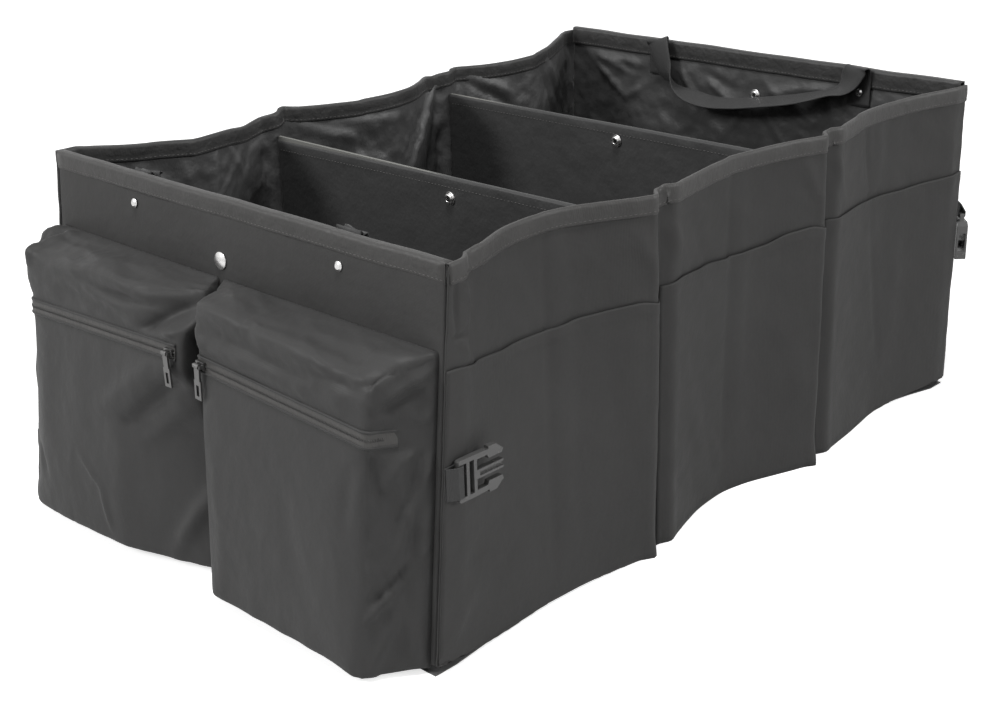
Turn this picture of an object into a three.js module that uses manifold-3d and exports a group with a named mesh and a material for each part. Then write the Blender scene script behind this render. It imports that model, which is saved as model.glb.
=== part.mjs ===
// Collapsible car trunk organizer of woven cloth over stiff boards, with two zipped pockets on its
// front end. Millimetres, +Z up, +X from the pocket end to the far end, origin on the floor's
// underside below the middle of the rim.
import * as THREE from 'three';
import { mergeVertices } from 'three/addons/utils/BufferGeometryUtils.js';
import Module from 'manifold-3d';

const wasm = await Module();
wasm.setup();

// The open bag
const rim_length = 700;
const rim_width = 480;
const rim_height = 310;
const bay_count = 3;
const front_lean = 28;
const front_left_flare = 6;
const rear_left_flare = 20;
const left_rim_sag = 8;

// Cloth, boards and the clearance between sewn layers
const cloth = 1.2;
const board_thickness = 3;
const layer_gap = 0.3;
const board_seam_allowance = 6;

// Binding tape around the rim
const binding_depth = 14;
const binding_tape = 1;

// Dividers, measured down from the rim
const divider_drop = 28;

// Side walls: a fold in the middle of each bay, and a pleat where a divider is sewn in
const corner_strip = 20;
const right_pleat_stand = 5;
const left_pleat_stand = 0;
const pleat_reach = 14;
const groove_depth = 6;
const groove_half = 4.5;
const right_rim_folds = [32, 16, 18];
const right_foot_folds = [8, 24, 18];
const left_rim_folds = [34, 42, 24];
const left_foot_folds = [10, 14, 10];
const fold_shares = [0, 0.3, 0.62, 1];
const foot_row = 14;
const lower_row = 118;

// Flat pockets along the right wall
const side_pocket_height = 224;
const side_pocket_cloth = 1;

// Floor and the loose base boards that lie on it
const base_board_thickness = 4;
const base_board_side_room = 9.5;
const base_board_clearance = 5;

// Zipped pockets on the front panel, measured down from the rim
const pocket_depth = 47;
const pocket_seam_drop = 63;
const pocket_foot_gap = 1.5;
const pocket_corner = 16;
const pocket_inner_corner = 7;
const pocket_edge_round = 12;
const pocket_edge_rise = 6;
const pocket_edge_fall = 7;
const pocket_meeting_y = 12;
const pocket_between = 5;
const pocket_side_margin = 4;
const right_pocket_form = { outer_inset: 17, inner_inset: 24, outer_drop: 84, inner_drop: 67, taper: 13 };
const left_pocket_form = { outer_inset: 14, inner_inset: -11, outer_drop: 79, inner_drop: 67, taper: 2 };

// Zips
const zip_drop = 115;
const zip_fall = THREE.MathUtils.degToRad(2.5);
const zip_slot = 13;
const zip_tape = 0.8;
const zip_return = 22;
const zip_end_margin = 5;
const chain_width = 3;
const chain_height = 1.4;
const slider_length = 10;
const slider_wall = 1.2;
const slider_clearance = 0.4;
const slider_end_room = 6;
const bail_bar_radius = 0.8;
const bail_post = 1.2;
const bail_post_half = 1.3;
const bail_span = 6.6;
const puller_eye_wall = 1;
const puller_length = 28;
const puller_width = 8;
const puller_thickness = 1.6;
const puller_slot_width = 3.2;
const puller_slot_length = 9;
const puller_slot_margin = 3;

// Snap fasteners and rivets
const snap_cap_radius = 7.2;
const snap_cap_height = 2.6;
const snap_cap_edge = 0.9;
const snap_crown_radius = 4.3;
const snap_crown = 2.1;
const snap_flange_radius = 6;
const snap_flange = 0.8;
const snap_ring_radius = 4.4;
const snap_bore_radius = 2.4;
const snap_height = 3.4;
const snap_bevel = 0.6;
const snap_shank_radius = 1.8;
const stud_neck_radius = 1.6;
const stud_head_radius = 2.1;
const front_snap_drop = 49;
const divider_snaps = [{ y: -6, drop: 20 }, { y: 0, drop: 16 }];
const rear_snap_drop = 40;
const rivet_cap_radius = 4;
const rivet_crown_radius = 2.4;
const rivet_cap_height = 1.8;
const rivet_edge = 0.7;
const rivet_shank_radius = 1.4;
const rivet_spread = 128;
const round_sides = 16;

// Webbing handles. The two ends of a handle fall in different curves, and each curve is a list of
// places: into the bag, back from the rivet, the share of the sag, and the turn of the strap. The
// middle is a list of places along the panel, each with its share of the sag.
const handle_width = 25;
const handle_thickness = 1.8;
const handle_sag = 51;
const handle_stand_off = 20.5;
const handle_tab_below_rivet = 14;
const handle_crest = 4.5;
const handle_tip = 0.3;
const plain_fall = [[13.5, 0, 0, 0], [15, 1, 0.25, 0.1], [16, 8, 0.6, 0.35], [17, 30, 0.86, 0.8]];
const steep_fall = [[13.5, 4, -0.03, 0], [15, 10, 0.25, 0.1], [16, 18, 0.55, 0.25], [17, 34, 0.8, 0.65]];
const easy_fall = [[13.5, 3, -0.03, 0], [15, 10, 0.18, 0.2], [16, 26, 0.4, 0.6]];
const handle_middle = [[0.56, 0.94], [0.36, 1], [0.1, 0.94], [-0.2, 0.8], [-0.52, 0.62]];
const front_handle = { rise: 1.5, rivet_drop: 24, first_fall: plain_fall, last_fall: plain_fall };
const rear_handle = { rise: 6, rivet_drop: 19.5, first_fall: steep_fall, last_fall: easy_fall };

// Side-release buckle
const buckle_web = 25;
const web_tape = 1.2;
const web_clearance = 0.5;
const buckle_bar = 3;
const buckle_corner_share = 0.7;
const buckle_slot = 4.5;
const male_width = 33;
const male_length = 45;
const male_thickness = 4.5;
const male_centre_z = 152;
const male_tab_length = 9;
const prong_width = 4.5;
const prong_head = 7.5;
const prong_barb = 1.5;
const prong_draft = 0.5;
const guide_width = 7;
const female_width = 38;
const female_length = 46;
const female_thickness = 11;
const female_wall = 2.2;
const female_shoulder = 4;
const female_bar_z = 181;
const female_out = 17.5;
const female_from_corner = 7;
const female_tab_length = 10;
const female_tab_fall = 22;
const female_tab_sewn = 20;
const female_turn = THREE.MathUtils.degToRad(45);

// How far one shape runs into another that it is joined with or cut from
const run_in = 1;

// Values worked out from the sizes above
const panel_half = board_thickness / 2 + layer_gap + cloth;
const tilt = Math.atan2(front_lean, rim_height);
const panel_seat = cloth + layer_gap;
const wall_inner = cloth + layer_gap;
const binding_inner = cloth + layer_gap + binding_tape + layer_gap;
const end_panel_edge = rim_width / 2 - binding_inner;
const divider_edge = rim_width / 2 - groove_depth - wall_inner;
const bay_length = rim_length / bay_count;
const front_panel_height = (rim_height - panel_seat - panel_half * Math.sin(tilt)) / Math.cos(tilt);
const divider_top = rim_height - divider_drop;
const pocket_foot_drop = front_panel_height - pocket_foot_gap;
const deepest_foot_fold = Math.max(...right_foot_folds, ...left_foot_folds);
const base_board_half_width = rim_width / 2 - deepest_foot_fold - wall_inner - base_board_side_room;
const shank_end = -panel_half + layer_gap;
const strap_seat = panel_half + layer_gap + binding_tape + layer_gap;

function bay_edge(number) {
  return -rim_length / 2 + number * bay_length;
}

// Finishes
function finish(color, roughness, metalness = 0) {
  return () => new THREE.MeshStandardMaterial({ color, roughness, metalness });
}
const outer_cloth = finish(0x343634, 0.85);
const lining_cloth = finish(0x2c2d2c, 0.6);
const binding_cloth = finish(0x3c3b38, 0.9);
const webbing = finish(0x2b2b2a, 0.85);
const zip_cloth = finish(0x2a2b2a, 0.8);
const moulded_plastic = finish(0x3a3a38, 0.5);
const bare_board = finish(0x8a7a64, 0.9);
const bright_nickel = finish(0xd8d8d6, 0.25, 1);
const dark_nickel = finish(0x6a6a6a, 0.35, 1);

// Turning shapes into closed solids and back
function closed_geometry(geometry) {
  const bare = geometry.clone();
  bare.deleteAttribute('normal');
  bare.deleteAttribute('uv');
  const merged = mergeVertices(bare, 1e-4);
  const points = merged.attributes.position;
  const faces = merged.index.array;
  const [a, b, c] = [new THREE.Vector3(), new THREE.Vector3(), new THREE.Vector3()];
  let volume = 0;
  for (let i = 0; i < faces.length; i += 3) {
    a.fromBufferAttribute(points, faces[i]);
    b.fromBufferAttribute(points, faces[i + 1]);
    c.fromBufferAttribute(points, faces[i + 2]);
    volume += a.dot(b.cross(c));
  }
  if (volume < 0) {
    for (let i = 0; i < faces.length; i += 3) {
      [faces[i], faces[i + 1]] = [faces[i + 1], faces[i]];
    }
  }
  return merged;
}

function solid(geometry) {
  const closed = closed_geometry(geometry);
  const vertProperties = new Float32Array(closed.attributes.position.array);
  const triVerts = new Uint32Array(closed.index.array);
  return new wasm.Manifold(new wasm.Mesh({ numProp: 3, vertProperties, triVerts }));
}

function geometry_of(manifold) {
  const mesh = manifold.getMesh();
  const geometry = new THREE.BufferGeometry();
  geometry.setAttribute('position', new THREE.BufferAttribute(mesh.vertProperties, 3));
  geometry.setIndex(new THREE.BufferAttribute(mesh.triVerts, 1));
  return geometry;
}

function node(group, name, shape, material) {
  const geometry = shape.isBufferGeometry ? closed_geometry(shape) : geometry_of(shape);
  geometry.computeVertexNormals();
  const mesh = new THREE.Mesh(geometry, material());
  mesh.name = name;
  group.add(mesh);
  return mesh;
}

function box(x, y, z) {
  const [width, depth, height] = [x[1] - x[0], y[1] - y[0], z[1] - z[0]];
  const shape = new THREE.BoxGeometry(width, depth, height);
  shape.translate((x[0] + x[1]) / 2, (y[0] + y[1]) / 2, (z[0] + z[1]) / 2);
  return shape;
}

function outline(points) {
  return new THREE.Shape(points.map(([x, y]) => new THREE.Vector2(x, y)));
}

function prism(shape, depth, curve_steps = 4) {
  return new THREE.ExtrudeGeometry(shape, { depth, bevelEnabled: false, curveSegments: curve_steps });
}

function reshaped(geometry, place) {
  const points = geometry.attributes.position;
  const corner = new THREE.Vector3();
  for (let i = 0; i < points.count; i += 1) {
    corner.fromBufferAttribute(points, i);
    points.setXYZ(i, ...place(corner));
  }
  return geometry;
}

// A turned piece on the X axis, from a closed profile of [distance along X, radius] points
function turned(profile, y, z) {
  const points = profile.map(([along, radius]) => new THREE.Vector2(radius, along));
  const shape = new THREE.LatheGeometry(points, round_sides);
  shape.rotateZ(-Math.PI / 2);
  shape.translate(0, y, z);
  return shape;
}

function bore_along_x(y, z, radius, reach) {
  const shape = new THREE.CylinderGeometry(radius, radius, 2 * reach, round_sides);
  shape.rotateZ(-Math.PI / 2);
  shape.translate(0, y, z);
  return shape;
}

// A closed sheet of cloth: both faces share one grid of columns and rows, so that layers that
// follow the same wall stay the same distance apart everywhere.
function sheet(columns, rows, place) {
  const positions = [];
  const index = [];
  for (let face = 0; face < 2; face += 1) {
    for (let row = 0; row < rows; row += 1) {
      for (let column = 0; column < columns; column += 1) {
        positions.push(...place(column, row, face));
      }
    }
  }
  const corner = (column, row, face) => (face * rows + row) * columns + column;
  const quad = (a, b, c, d) => index.push(a, b, c, a, c, d);
  for (let row = 0; row < rows - 1; row += 1) {
    for (let column = 0; column < columns - 1; column += 1) {
      const [a, b, c, d] = [[0, 0], [1, 0], [1, 1], [0, 1]].map(([i, k]) => [column + i, row + k]);
      quad(...[a, b, c, d].map((at) => corner(...at, 0)));
      const [e, f, g, h] = [a, b, c, d].map((at) => corner(...at, 1));
      index.push(e, g, f, e, h, g);
    }
  }
  const [right, top] = [columns - 1, rows - 1];
  for (let c = 0; c < right; c += 1) {
    quad(corner(c, 0, 1), corner(c + 1, 0, 1), corner(c + 1, 0, 0), corner(c, 0, 0));
    quad(corner(c, top, 0), corner(c + 1, top, 0), corner(c + 1, top, 1), corner(c, top, 1));
  }
  for (let r = 0; r < top; r += 1) {
    quad(corner(0, r, 1), corner(0, r, 0), corner(0, r + 1, 0), corner(0, r + 1, 1));
    quad(corner(right, r, 0), corner(right, r, 1), corner(right, r + 1, 1), corner(right, r + 1, 0));
  }
  const geometry = new THREE.BufferGeometry();
  geometry.setAttribute('position', new THREE.Float32BufferAttribute(positions, 3));
  geometry.setIndex(index);
  return geometry;
}

// A strap along a line of stations, each with its place and the direction across the strap
function strap(stations, width, thickness) {
  const place = (column, row, face) => {
    const before = stations[Math.max(column - 1, 0)].at;
    const after = stations[Math.min(column + 1, stations.length - 1)].at;
    const along = after.clone().sub(before).normalize();
    const across = stations[column].across.clone();
    across.addScaledVector(along, -across.dot(along)).normalize();
    const out = along.clone().cross(across);
    const at = stations[column].at.clone();
    at.addScaledVector(across, (row - 0.5) * width);
    at.addScaledVector(out, (face - 0.5) * thickness);
    return at.toArray();
  };
  return sheet(stations.length, 2, place);
}

// Side walls: where each column of the wall stands, and how the cloth folds there. A pleat of 1
// stands out beside a divider's seam, and a pleat of -1 is the groove at the seam itself.
function wall_columns() {
  const columns = [];
  for (let bay = 0; bay < bay_count; bay += 1) {
    const [start, end] = [bay_edge(bay), bay_edge(bay + 1)];
    const middle = (start + end) / 2;
    const [is_first, is_last] = [bay === 0, bay === bay_count - 1];
    const flat_start = start + (is_first ? corner_strip : pleat_reach);
    const flat_end = end - (is_last ? corner_strip : 2 * pleat_reach);
    const add = (x, pleat, share) => {
      columns.push({ x, pleat, fold: Math.sin((share * Math.PI) / 2), bay });
    };
    add(is_first ? start : start + groove_half, is_first ? 0 : -1, 0);
    for (const share of fold_shares) add(THREE.MathUtils.lerp(flat_start, middle, share), 0, share);
    for (const share of [...fold_shares].reverse().slice(1)) {
      add(THREE.MathUtils.lerp(flat_end, middle, share), 0, share);
    }
    if (!is_last) add(end - pleat_reach, 1, 0);
    add(is_last ? end : end - groove_half, is_last ? 0 : -1, 0);
  }
  return columns;
}
const columns = wall_columns();

const walls = {
  right: {
    sign: -1,
    stand: right_pleat_stand,
    rim: right_rim_folds,
    foot: right_foot_folds,
    flares: [0, 0],
    sag: 0,
  },
  left: {
    sign: 1,
    stand: left_pleat_stand,
    rim: left_rim_folds,
    foot: left_foot_folds,
    flares: [front_left_flare, rear_left_flare],
    sag: left_rim_sag,
  },
};

// How far a place has left its corner, from 0 on the stiff corner strip to 1 at the bay's fold
function past_corner(distance) {
  return THREE.MathUtils.clamp((distance - corner_strip) / (bay_length / 2 - corner_strip), 0, 1);
}

// A point of a wall: inward is measured from its outer face, up from the floor
function wall_point(wall, column, inward, up) {
  const { x, pleat, fold, bay } = columns[column];
  const stand = pleat * (pleat > 0 ? wall.stand : groove_depth);
  const height_share = Math.min(up / (rim_height - binding_depth), 1);
  const from_front = past_corner(x - bay_edge(0));
  const from_rear = past_corner(bay_edge(bay_count) - x);
  const flare = wall.flares[0] * (1 - from_front) + wall.flares[1] * (1 - from_rear);
  const depth = THREE.MathUtils.lerp(wall.foot[bay], wall.rim[bay], height_share);
  const out = rim_width / 2 + stand + flare - fold * depth - inward;
  const lean_share = Math.max((bay_edge(1) - x) / bay_length, 0);
  const lean = front_lean * (1 - up / rim_height) * lean_share;
  const sag = wall.sag * height_share * Math.min(from_front, from_rear);
  return [x - lean, wall.sign * out, up - sag];
}

function wall_sheet(wall, first, last, rows, outer, thickness) {
  const place = (column, row, face) => {
    return wall_point(wall, first + column, outer + face * thickness, rows[row]);
  };
  return sheet(last - first + 1, rows.length, place);
}

const wall_rows = [0, foot_row, lower_row, side_pocket_height, rim_height - binding_depth, rim_height];

function side_wall(group, side) {
  const shape = wall_sheet(walls[side], 0, columns.length - 1, wall_rows, 0, cloth);
  node(group, `${side}_side_wall`, shape, outer_cloth);
}

function side_pockets(group, side, names) {
  const rows = wall_rows.filter((up) => up <= side_pocket_height);
  for (let bay = 0; bay < bay_count; bay += 1) {
    const first = columns.findIndex((column) => column.bay === bay);
    const last = columns.findLastIndex((column) => column.bay === bay);
    const outer = -layer_gap - side_pocket_cloth;
    const shape = wall_sheet(walls[side], first, last, rows, outer, side_pocket_cloth);
    node(group, `${side}_side_pocket_${names[bay]}`, shape, outer_cloth);
  }
}

// The section of the binding: a U over an edge that is as thick as `edge`
function binding_section(edge) {
  const [inside, outside] = [layer_gap, layer_gap + binding_tape];
  return outline([
    [-outside, -binding_depth],
    [-inside, -binding_depth],
    [-inside, inside],
    [edge + inside, inside],
    [edge + inside, -binding_depth],
    [edge + outside, -binding_depth],
    [edge + outside, outside],
    [-outside, outside],
  ]);
}

function wall_binding(group, side) {
  const steps = columns.length - 1;
  const settings = { depth: steps, steps, bevelEnabled: false };
  const shape = new THREE.ExtrudeGeometry(binding_section(cloth), settings);
  const place = (p) => wall_point(walls[side], Math.round(p.z), p.x, rim_height + p.y);
  node(group, `rim_binding_${side}`, reshaped(shape, place), binding_cloth);
}

function panel_binding(group, name, from, to) {
  const shape = prism(binding_section(2 * panel_half), to - from);
  const place = (p) => [p.x - panel_half, from + p.z, p.y];
  node(group, name, reshaped(shape, place), binding_cloth);
}

// A stiff panel: a board in a sewn sleeve that is open at its foot, with its top edge at z = 0
function stiff_panel(group, name, from, to, height, bores) {
  const [low, high] = [from + wall_inner, to - wall_inner];
  const outside = solid(box([-panel_half, panel_half], [from, to], [-height, 0]));
  const half_room = panel_half - cloth;
  const room = solid(box([-half_room, half_room], [from + cloth, to - cloth], [-height - run_in, -cloth]));
  let cover = outside.subtract(room);
  const board_foot = -height + board_seam_allowance;
  const half_board = board_thickness / 2;
  let board = solid(box([-half_board, half_board], [low, high], [board_foot, -wall_inner]));
  for (const { y, z, radius } of bores) {
    const bore = solid(bore_along_x(y, z, radius + layer_gap, 2 * panel_half));
    cover = cover.subtract(bore);
    board = board.subtract(bore);
  }
  node(group, `${name}_cover`, cover, outer_cloth);
  node(group, `${name}_board`, board, bare_board);
}

// Snap fastener halves: side is 1 or -1, the way along X that a half points. Their shanks pass
// through the panel, and the profile starts at the shank's end.
function snap_cap(group, name, side, y, z) {
  const face = panel_half + layer_gap;
  const profile = [
    [shank_end, 0],
    [shank_end, snap_shank_radius],
    [face, snap_shank_radius],
    [face, snap_cap_radius],
    [face + snap_cap_edge, snap_cap_radius],
    [face + snap_crown, snap_crown_radius],
    [face + snap_cap_height, 0],
  ];
  node(group, name, turned(profile.map(([along, r]) => [side * along, r]), y, z), bright_nickel);
}

function snap_socket(group, name, side, y, z) {
  const face = panel_half + layer_gap;
  const profile = [
    [face, snap_bore_radius],
    [face, snap_flange_radius],
    [face + snap_flange, snap_flange_radius],
    [face + snap_flange, snap_ring_radius],
    [face + snap_height - snap_bevel, snap_ring_radius],
    [face + snap_height, snap_ring_radius - snap_bevel],
    [face + snap_height, snap_bore_radius],
    [face, snap_bore_radius],
  ];
  node(group, name, turned(profile.map(([along, r]) => [side * along, r]), y, z), bright_nickel);
}

function snap_stud(group, name, side, y, z) {
  const face = panel_half + layer_gap;
  const head = face + snap_height - 2 * snap_bevel;
  const profile = [
    [shank_end, 0],
    [shank_end, snap_shank_radius],
    [face, snap_shank_radius],
    [face, snap_flange_radius],
    [face + snap_flange, snap_flange_radius],
    [face + snap_flange, stud_neck_radius],
    [head - snap_bevel, stud_neck_radius],
    [head, stud_head_radius],
    [face + snap_height, stud_neck_radius],
    [face + snap_height, 0],
  ];
  node(group, name, turned(profile.map(([along, r]) => [side * along, r]), y, z), bright_nickel);
}

// A rivet through the panel and the handle's end tab, which lies level with the rim's binding
function handle_rivet(group, name, y, drop) {
  const outer_face = -panel_half - layer_gap;
  const inner_face = strap_seat + handle_thickness + layer_gap;
  const profile = [
    [outer_face - rivet_cap_height, 0],
    [outer_face - rivet_cap_height, rivet_crown_radius],
    [outer_face - rivet_edge, rivet_cap_radius],
    [outer_face, rivet_cap_radius],
    [outer_face, rivet_shank_radius],
    [inner_face, rivet_shank_radius],
    [inner_face, rivet_cap_radius],
    [inner_face + rivet_edge, rivet_cap_radius],
    [inner_face + rivet_cap_height, rivet_crown_radius],
    [inner_face + rivet_cap_height, 0],
  ];
  node(group, name, turned(profile, y, -drop), bright_nickel);
}

// A webbing handle: both ends are riveted inside the panel and run up over the rim's binding. From
// there the strap turns over and falls in a loose loop, whose middle lies nearly flat under the snap.
function handle(group, name, slack_side, { rise, rivet_drop, first_fall, last_fall }) {
  const seat = strap_seat + handle_thickness / 2;
  const end = [
    [seat, 0, -rivet_drop - handle_tab_below_rivet, 0],
    [seat, 0, 0, 0],
    [seat + handle_crest, -1, rise, 0],
  ];
  const fall = (curve) => curve.map(([inward, back, share, turn]) => {
    return [inward, -back, -share * handle_sag, turn];
  });
  const station = (side, turn_sign) => ([inward, shift, up, turn]) => ({
    at: new THREE.Vector3(inward, side * (rivet_spread + shift), up),
    across: new THREE.Vector3(-side * turn_sign * turn, 1 - turn, 0),
  });
  const middle = handle_middle.map(([share, depth]) => ({
    at: new THREE.Vector3(handle_stand_off, slack_side * share * rivet_spread, -depth * handle_sag),
    across: new THREE.Vector3(-slack_side, 0, slack_side * handle_tip),
  }));
  const first_half = [...end, ...fall(first_fall)].map(station(slack_side, 1));
  const last_half = [...end, ...fall(last_fall)].map(station(-slack_side, -1)).reverse();
  const stations = [...first_half, ...middle, ...last_half];
  let shape = solid(strap(stations, handle_width, handle_thickness));
  for (const side of [-1, 1]) {
    const y = side * rivet_spread;
    const hole = bore_along_x(y, -rivet_drop, rivet_shank_radius + layer_gap, 2 * seat);
    shape = shape.subtract(solid(hole));
  }
  node(group, name, shape, webbing);
}

// The solid of a zipped pocket, moved in by `drop` all over: a wedge that is deepest at its front
// face, with its sloping top sewn to the panel, and a foot that is narrower than its top. The top's
// front edge is higher at the pocket's inner end.
function pocket_solid(outer_y, inner_y, form, drop, back, sign) {
  const face = -panel_half - layer_gap - pocket_depth + drop;
  const outer_front = outer_y - sign * form.outer_inset;
  const inner_front = inner_y + sign * form.inner_inset;
  const outer_line = outer_front - sign * drop;
  const inner_line = inner_front + sign * drop;
  const round = pocket_corner - drop;
  const inner_round = pocket_inner_corner - drop;
  const shape = new THREE.Shape();
  shape.moveTo(back, outer_y - sign * drop);
  shape.lineTo(face + round, outer_line);
  shape.quadraticCurveTo(face, outer_line, face, outer_line - sign * round);
  shape.lineTo(face, inner_line + sign * inner_round);
  shape.quadraticCurveTo(face, inner_line, face + inner_round, inner_line);
  shape.lineTo(back, inner_y + sign * drop);
  shape.closePath();
  const height = pocket_foot_drop - pocket_seam_drop - 2 * drop;
  const middle = (outer_front + inner_front) / 2;
  const half_width = Math.abs(outer_front - inner_front) / 2;
  const body = prism(shape, height, 3);
  reshaped(body, (p) => {
    const out_share = THREE.MathUtils.clamp((back - p.x) / (back - face), 0, 1);
    const is_foot = p.z < height / 2;
    const taper = is_foot ? 1 - (out_share * form.taper) / half_width : 1;
    return [p.x, middle + (p.y - middle) * taper, p.z - pocket_foot_drop + drop];
  });
  const back_z = -pocket_seam_drop - drop;
  const front_z = -form.outer_drop - drop;
  const side_profile = new THREE.Shape();
  side_profile.moveTo(back, -pocket_foot_drop + drop);
  side_profile.lineTo(back, back_z);
  side_profile.lineTo(face + pocket_edge_round, front_z + pocket_edge_rise);
  side_profile.quadraticCurveTo(face, front_z, face, front_z - pocket_edge_fall);
  side_profile.lineTo(face, -pocket_foot_drop + drop);
  side_profile.closePath();
  const reach = 2 * rim_width;
  const slab = prism(side_profile, reach, 3);
  const rise = (form.outer_drop - form.inner_drop) / Math.abs(outer_y - inner_y);
  reshaped(slab, (p) => {
    const y = reach / 2 - p.z;
    const is_front_edge = p.x < back && p.y > -zip_drop;
    return [p.x, y, is_front_edge ? p.y + rise * sign * (outer_y - y) : p.y];
  });
  return solid(body).intersect(solid(slab));
}

function ordered(a, b) {
  return [Math.min(a, b), Math.max(a, b)];
}

// Turns a piece of a zip about its slider's place, so that the zip falls towards the outer side
function zip_turned(shape, sign, y) {
  const about_x = THREE.MathUtils.radToDeg(-sign * zip_fall);
  return shape.translate([0, -y, zip_drop]).rotate([about_x, 0, 0]).translate([0, y, -zip_drop]);
}

// A zipped pocket: a sewn bag that is open against the panel, with a slot for its zip. The zip's
// tape fills the slot, and its chain stands on the tape.
function zip_pocket(group, side, outer_y, inner_y, form) {
  const sign = side === 'left' ? 1 : -1;
  const back = -panel_half - layer_gap;
  const face = back - pocket_depth;
  const outside = pocket_solid(outer_y, inner_y, form, 0, back, sign);
  const inside = pocket_solid(outer_y, inner_y, form, cloth, back + run_in, sign);
  const inner_front = inner_y + sign * form.inner_inset;
  const slot_inner = inner_front + sign * zip_end_margin;
  const tape_inner = slot_inner + sign * layer_gap;
  const chain_inner = tape_inner + sign * layer_gap;
  const slider_y = chain_inner + sign * slider_end_room;
  const zip_piece = (x, y, half) => zip_turned(solid(box(x, y, zip_span(half))), sign, slider_y);
  const slot_outer = outer_y + sign * run_in;
  const slot_x = [face - run_in, face + zip_return];
  const slot = zip_piece(slot_x, ordered(slot_inner, slot_outer), zip_slot / 2);
  node(group, `${side}_pocket_bag`, outside.subtract(inside).subtract(slot), outer_cloth);

  const within = pocket_solid(outer_y, inner_y, form, zip_tape, back + run_in, sign);
  const tape_x = [slot_x[0], slot_x[1] - layer_gap];
  const tape_room = zip_piece(tape_x, ordered(tape_inner, slot_outer), zip_slot / 2 - layer_gap);
  const tape = outside.subtract(within).intersect(tape_room);
  const outer_front = outer_y - sign * form.outer_inset;
  const chain_y = ordered(chain_inner, outer_front - sign * pocket_corner);
  const chain_x = [face - chain_height, face + zip_tape / 2];
  const chain = zip_piece(chain_x, chain_y, chain_width / 2);
  node(group, `${side}_pocket_zip`, tape.add(chain), zip_cloth);

  zip_slider(group, side, face, slider_y, sign);
}

// The slider straddles the chain. Its pull tab hangs from the bail's bar, which lies along the
// chain.
function zip_slider(group, side, face, y, sign) {
  const near = face - layer_gap;
  const far = face - chain_height - slider_clearance - slider_wall;
  const half_room = chain_width / 2 + slider_clearance;
  const half_length = slider_length / 2;
  const body_y = [y - half_length, y + half_length];
  const body = solid(box([far, near], body_y, zip_span(half_room + slider_wall)));
  const groove_x = [far + slider_wall, near + run_in];
  const groove_y = [y - slider_length, y + slider_length];
  const groove = solid(box(groove_x, groove_y, zip_span(half_room)));
  const eye_radius = bail_bar_radius + layer_gap + puller_eye_wall;
  const bar_x = far - layer_gap - eye_radius;
  const bar_length = bail_span + bail_post;
  const bar = new THREE.CylinderGeometry(bail_bar_radius, bail_bar_radius, bar_length, round_sides);
  bar.translate(bar_x, y, -zip_drop);
  let slider = body.subtract(groove).add(solid(bar));
  for (const end of [-1, 1]) {
    const post_y = y + (end * bar_length) / 2;
    const post_x = [bar_x - bail_bar_radius - layer_gap, far + slider_wall / 2];
    const post_span = [post_y - bail_post / 2, post_y + bail_post / 2];
    slider = slider.add(solid(box(post_x, post_span, zip_span(bail_post_half))));
  }
  node(group, `${side}_zip_slider`, zip_turned(slider, sign, y), dark_nickel);

  const eye_length = bail_span - 2 * layer_gap;
  const bore_radius = bail_bar_radius + layer_gap;
  const eye = new THREE.CylinderGeometry(eye_radius, eye_radius, eye_length, round_sides);
  const bore = new THREE.CylinderGeometry(bore_radius, bore_radius, 2 * eye_length, round_sides);
  const half_tab = puller_thickness / 2;
  const tab_x = [-half_tab, half_tab];
  const shoulder_z = -puller_length + puller_slot_length + 2 * puller_slot_margin;
  const neck = box(tab_x, [-eye_length / 2, eye_length / 2], [shoulder_z, -bore_radius]);
  const tab_z = [-puller_length, shoulder_z + run_in];
  const tab = box(tab_x, [-puller_width / 2, puller_width / 2], tab_z);
  const slot_foot = -puller_length + puller_slot_margin;
  const half_slot = puller_slot_width / 2;
  const slot_x = [-puller_thickness, puller_thickness];
  const slot = box(slot_x, [-half_slot, half_slot], [slot_foot, slot_foot + puller_slot_length]);
  let puller = solid(eye).add(solid(neck)).add(solid(tab));
  puller = puller.subtract(solid(bore)).subtract(solid(slot));
  puller = puller.rotate([0, -THREE.MathUtils.radToDeg(tilt), 0]).translate([bar_x, y, -zip_drop]);
  node(group, `${side}_zip_puller`, zip_turned(puller, sign, y), dark_nickel);
}

// The heights of what is centred on the zip
function zip_span(half) {
  return [-zip_drop - half, -zip_drop + half];
}

// Floor cloth between the feet of the walls, and the loose boards on it
function floor_cloth(group) {
  const foot = (side) => columns.map((_, i) => wall_point(walls[side], i, wall_inner, 0).slice(0, 2));
  const shape = outline([...foot('right'), ...foot('left').reverse()]);
  node(group, 'floor_cloth', prism(shape, cloth), lining_cloth);
}

function base_boards(group, names) {
  for (let bay = 0; bay < bay_count; bay += 1) {
    const front_foot = bay_edge(0) - front_lean + 2 * panel_half + layer_gap;
    const start = bay === 0 ? front_foot : bay_edge(bay) + panel_half;
    const is_last = bay === bay_count - 1;
    const end = bay_edge(bay + 1) - (is_last ? 2 * panel_half : panel_half);
    const x = [start + base_board_clearance, end - base_board_clearance];
    const y = [-base_board_half_width, base_board_half_width];
    const z = [panel_seat, panel_seat + base_board_thickness];
    node(group, `base_board_${names[bay]}`, box(x, y, z), lining_cloth);
  }
}

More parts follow.
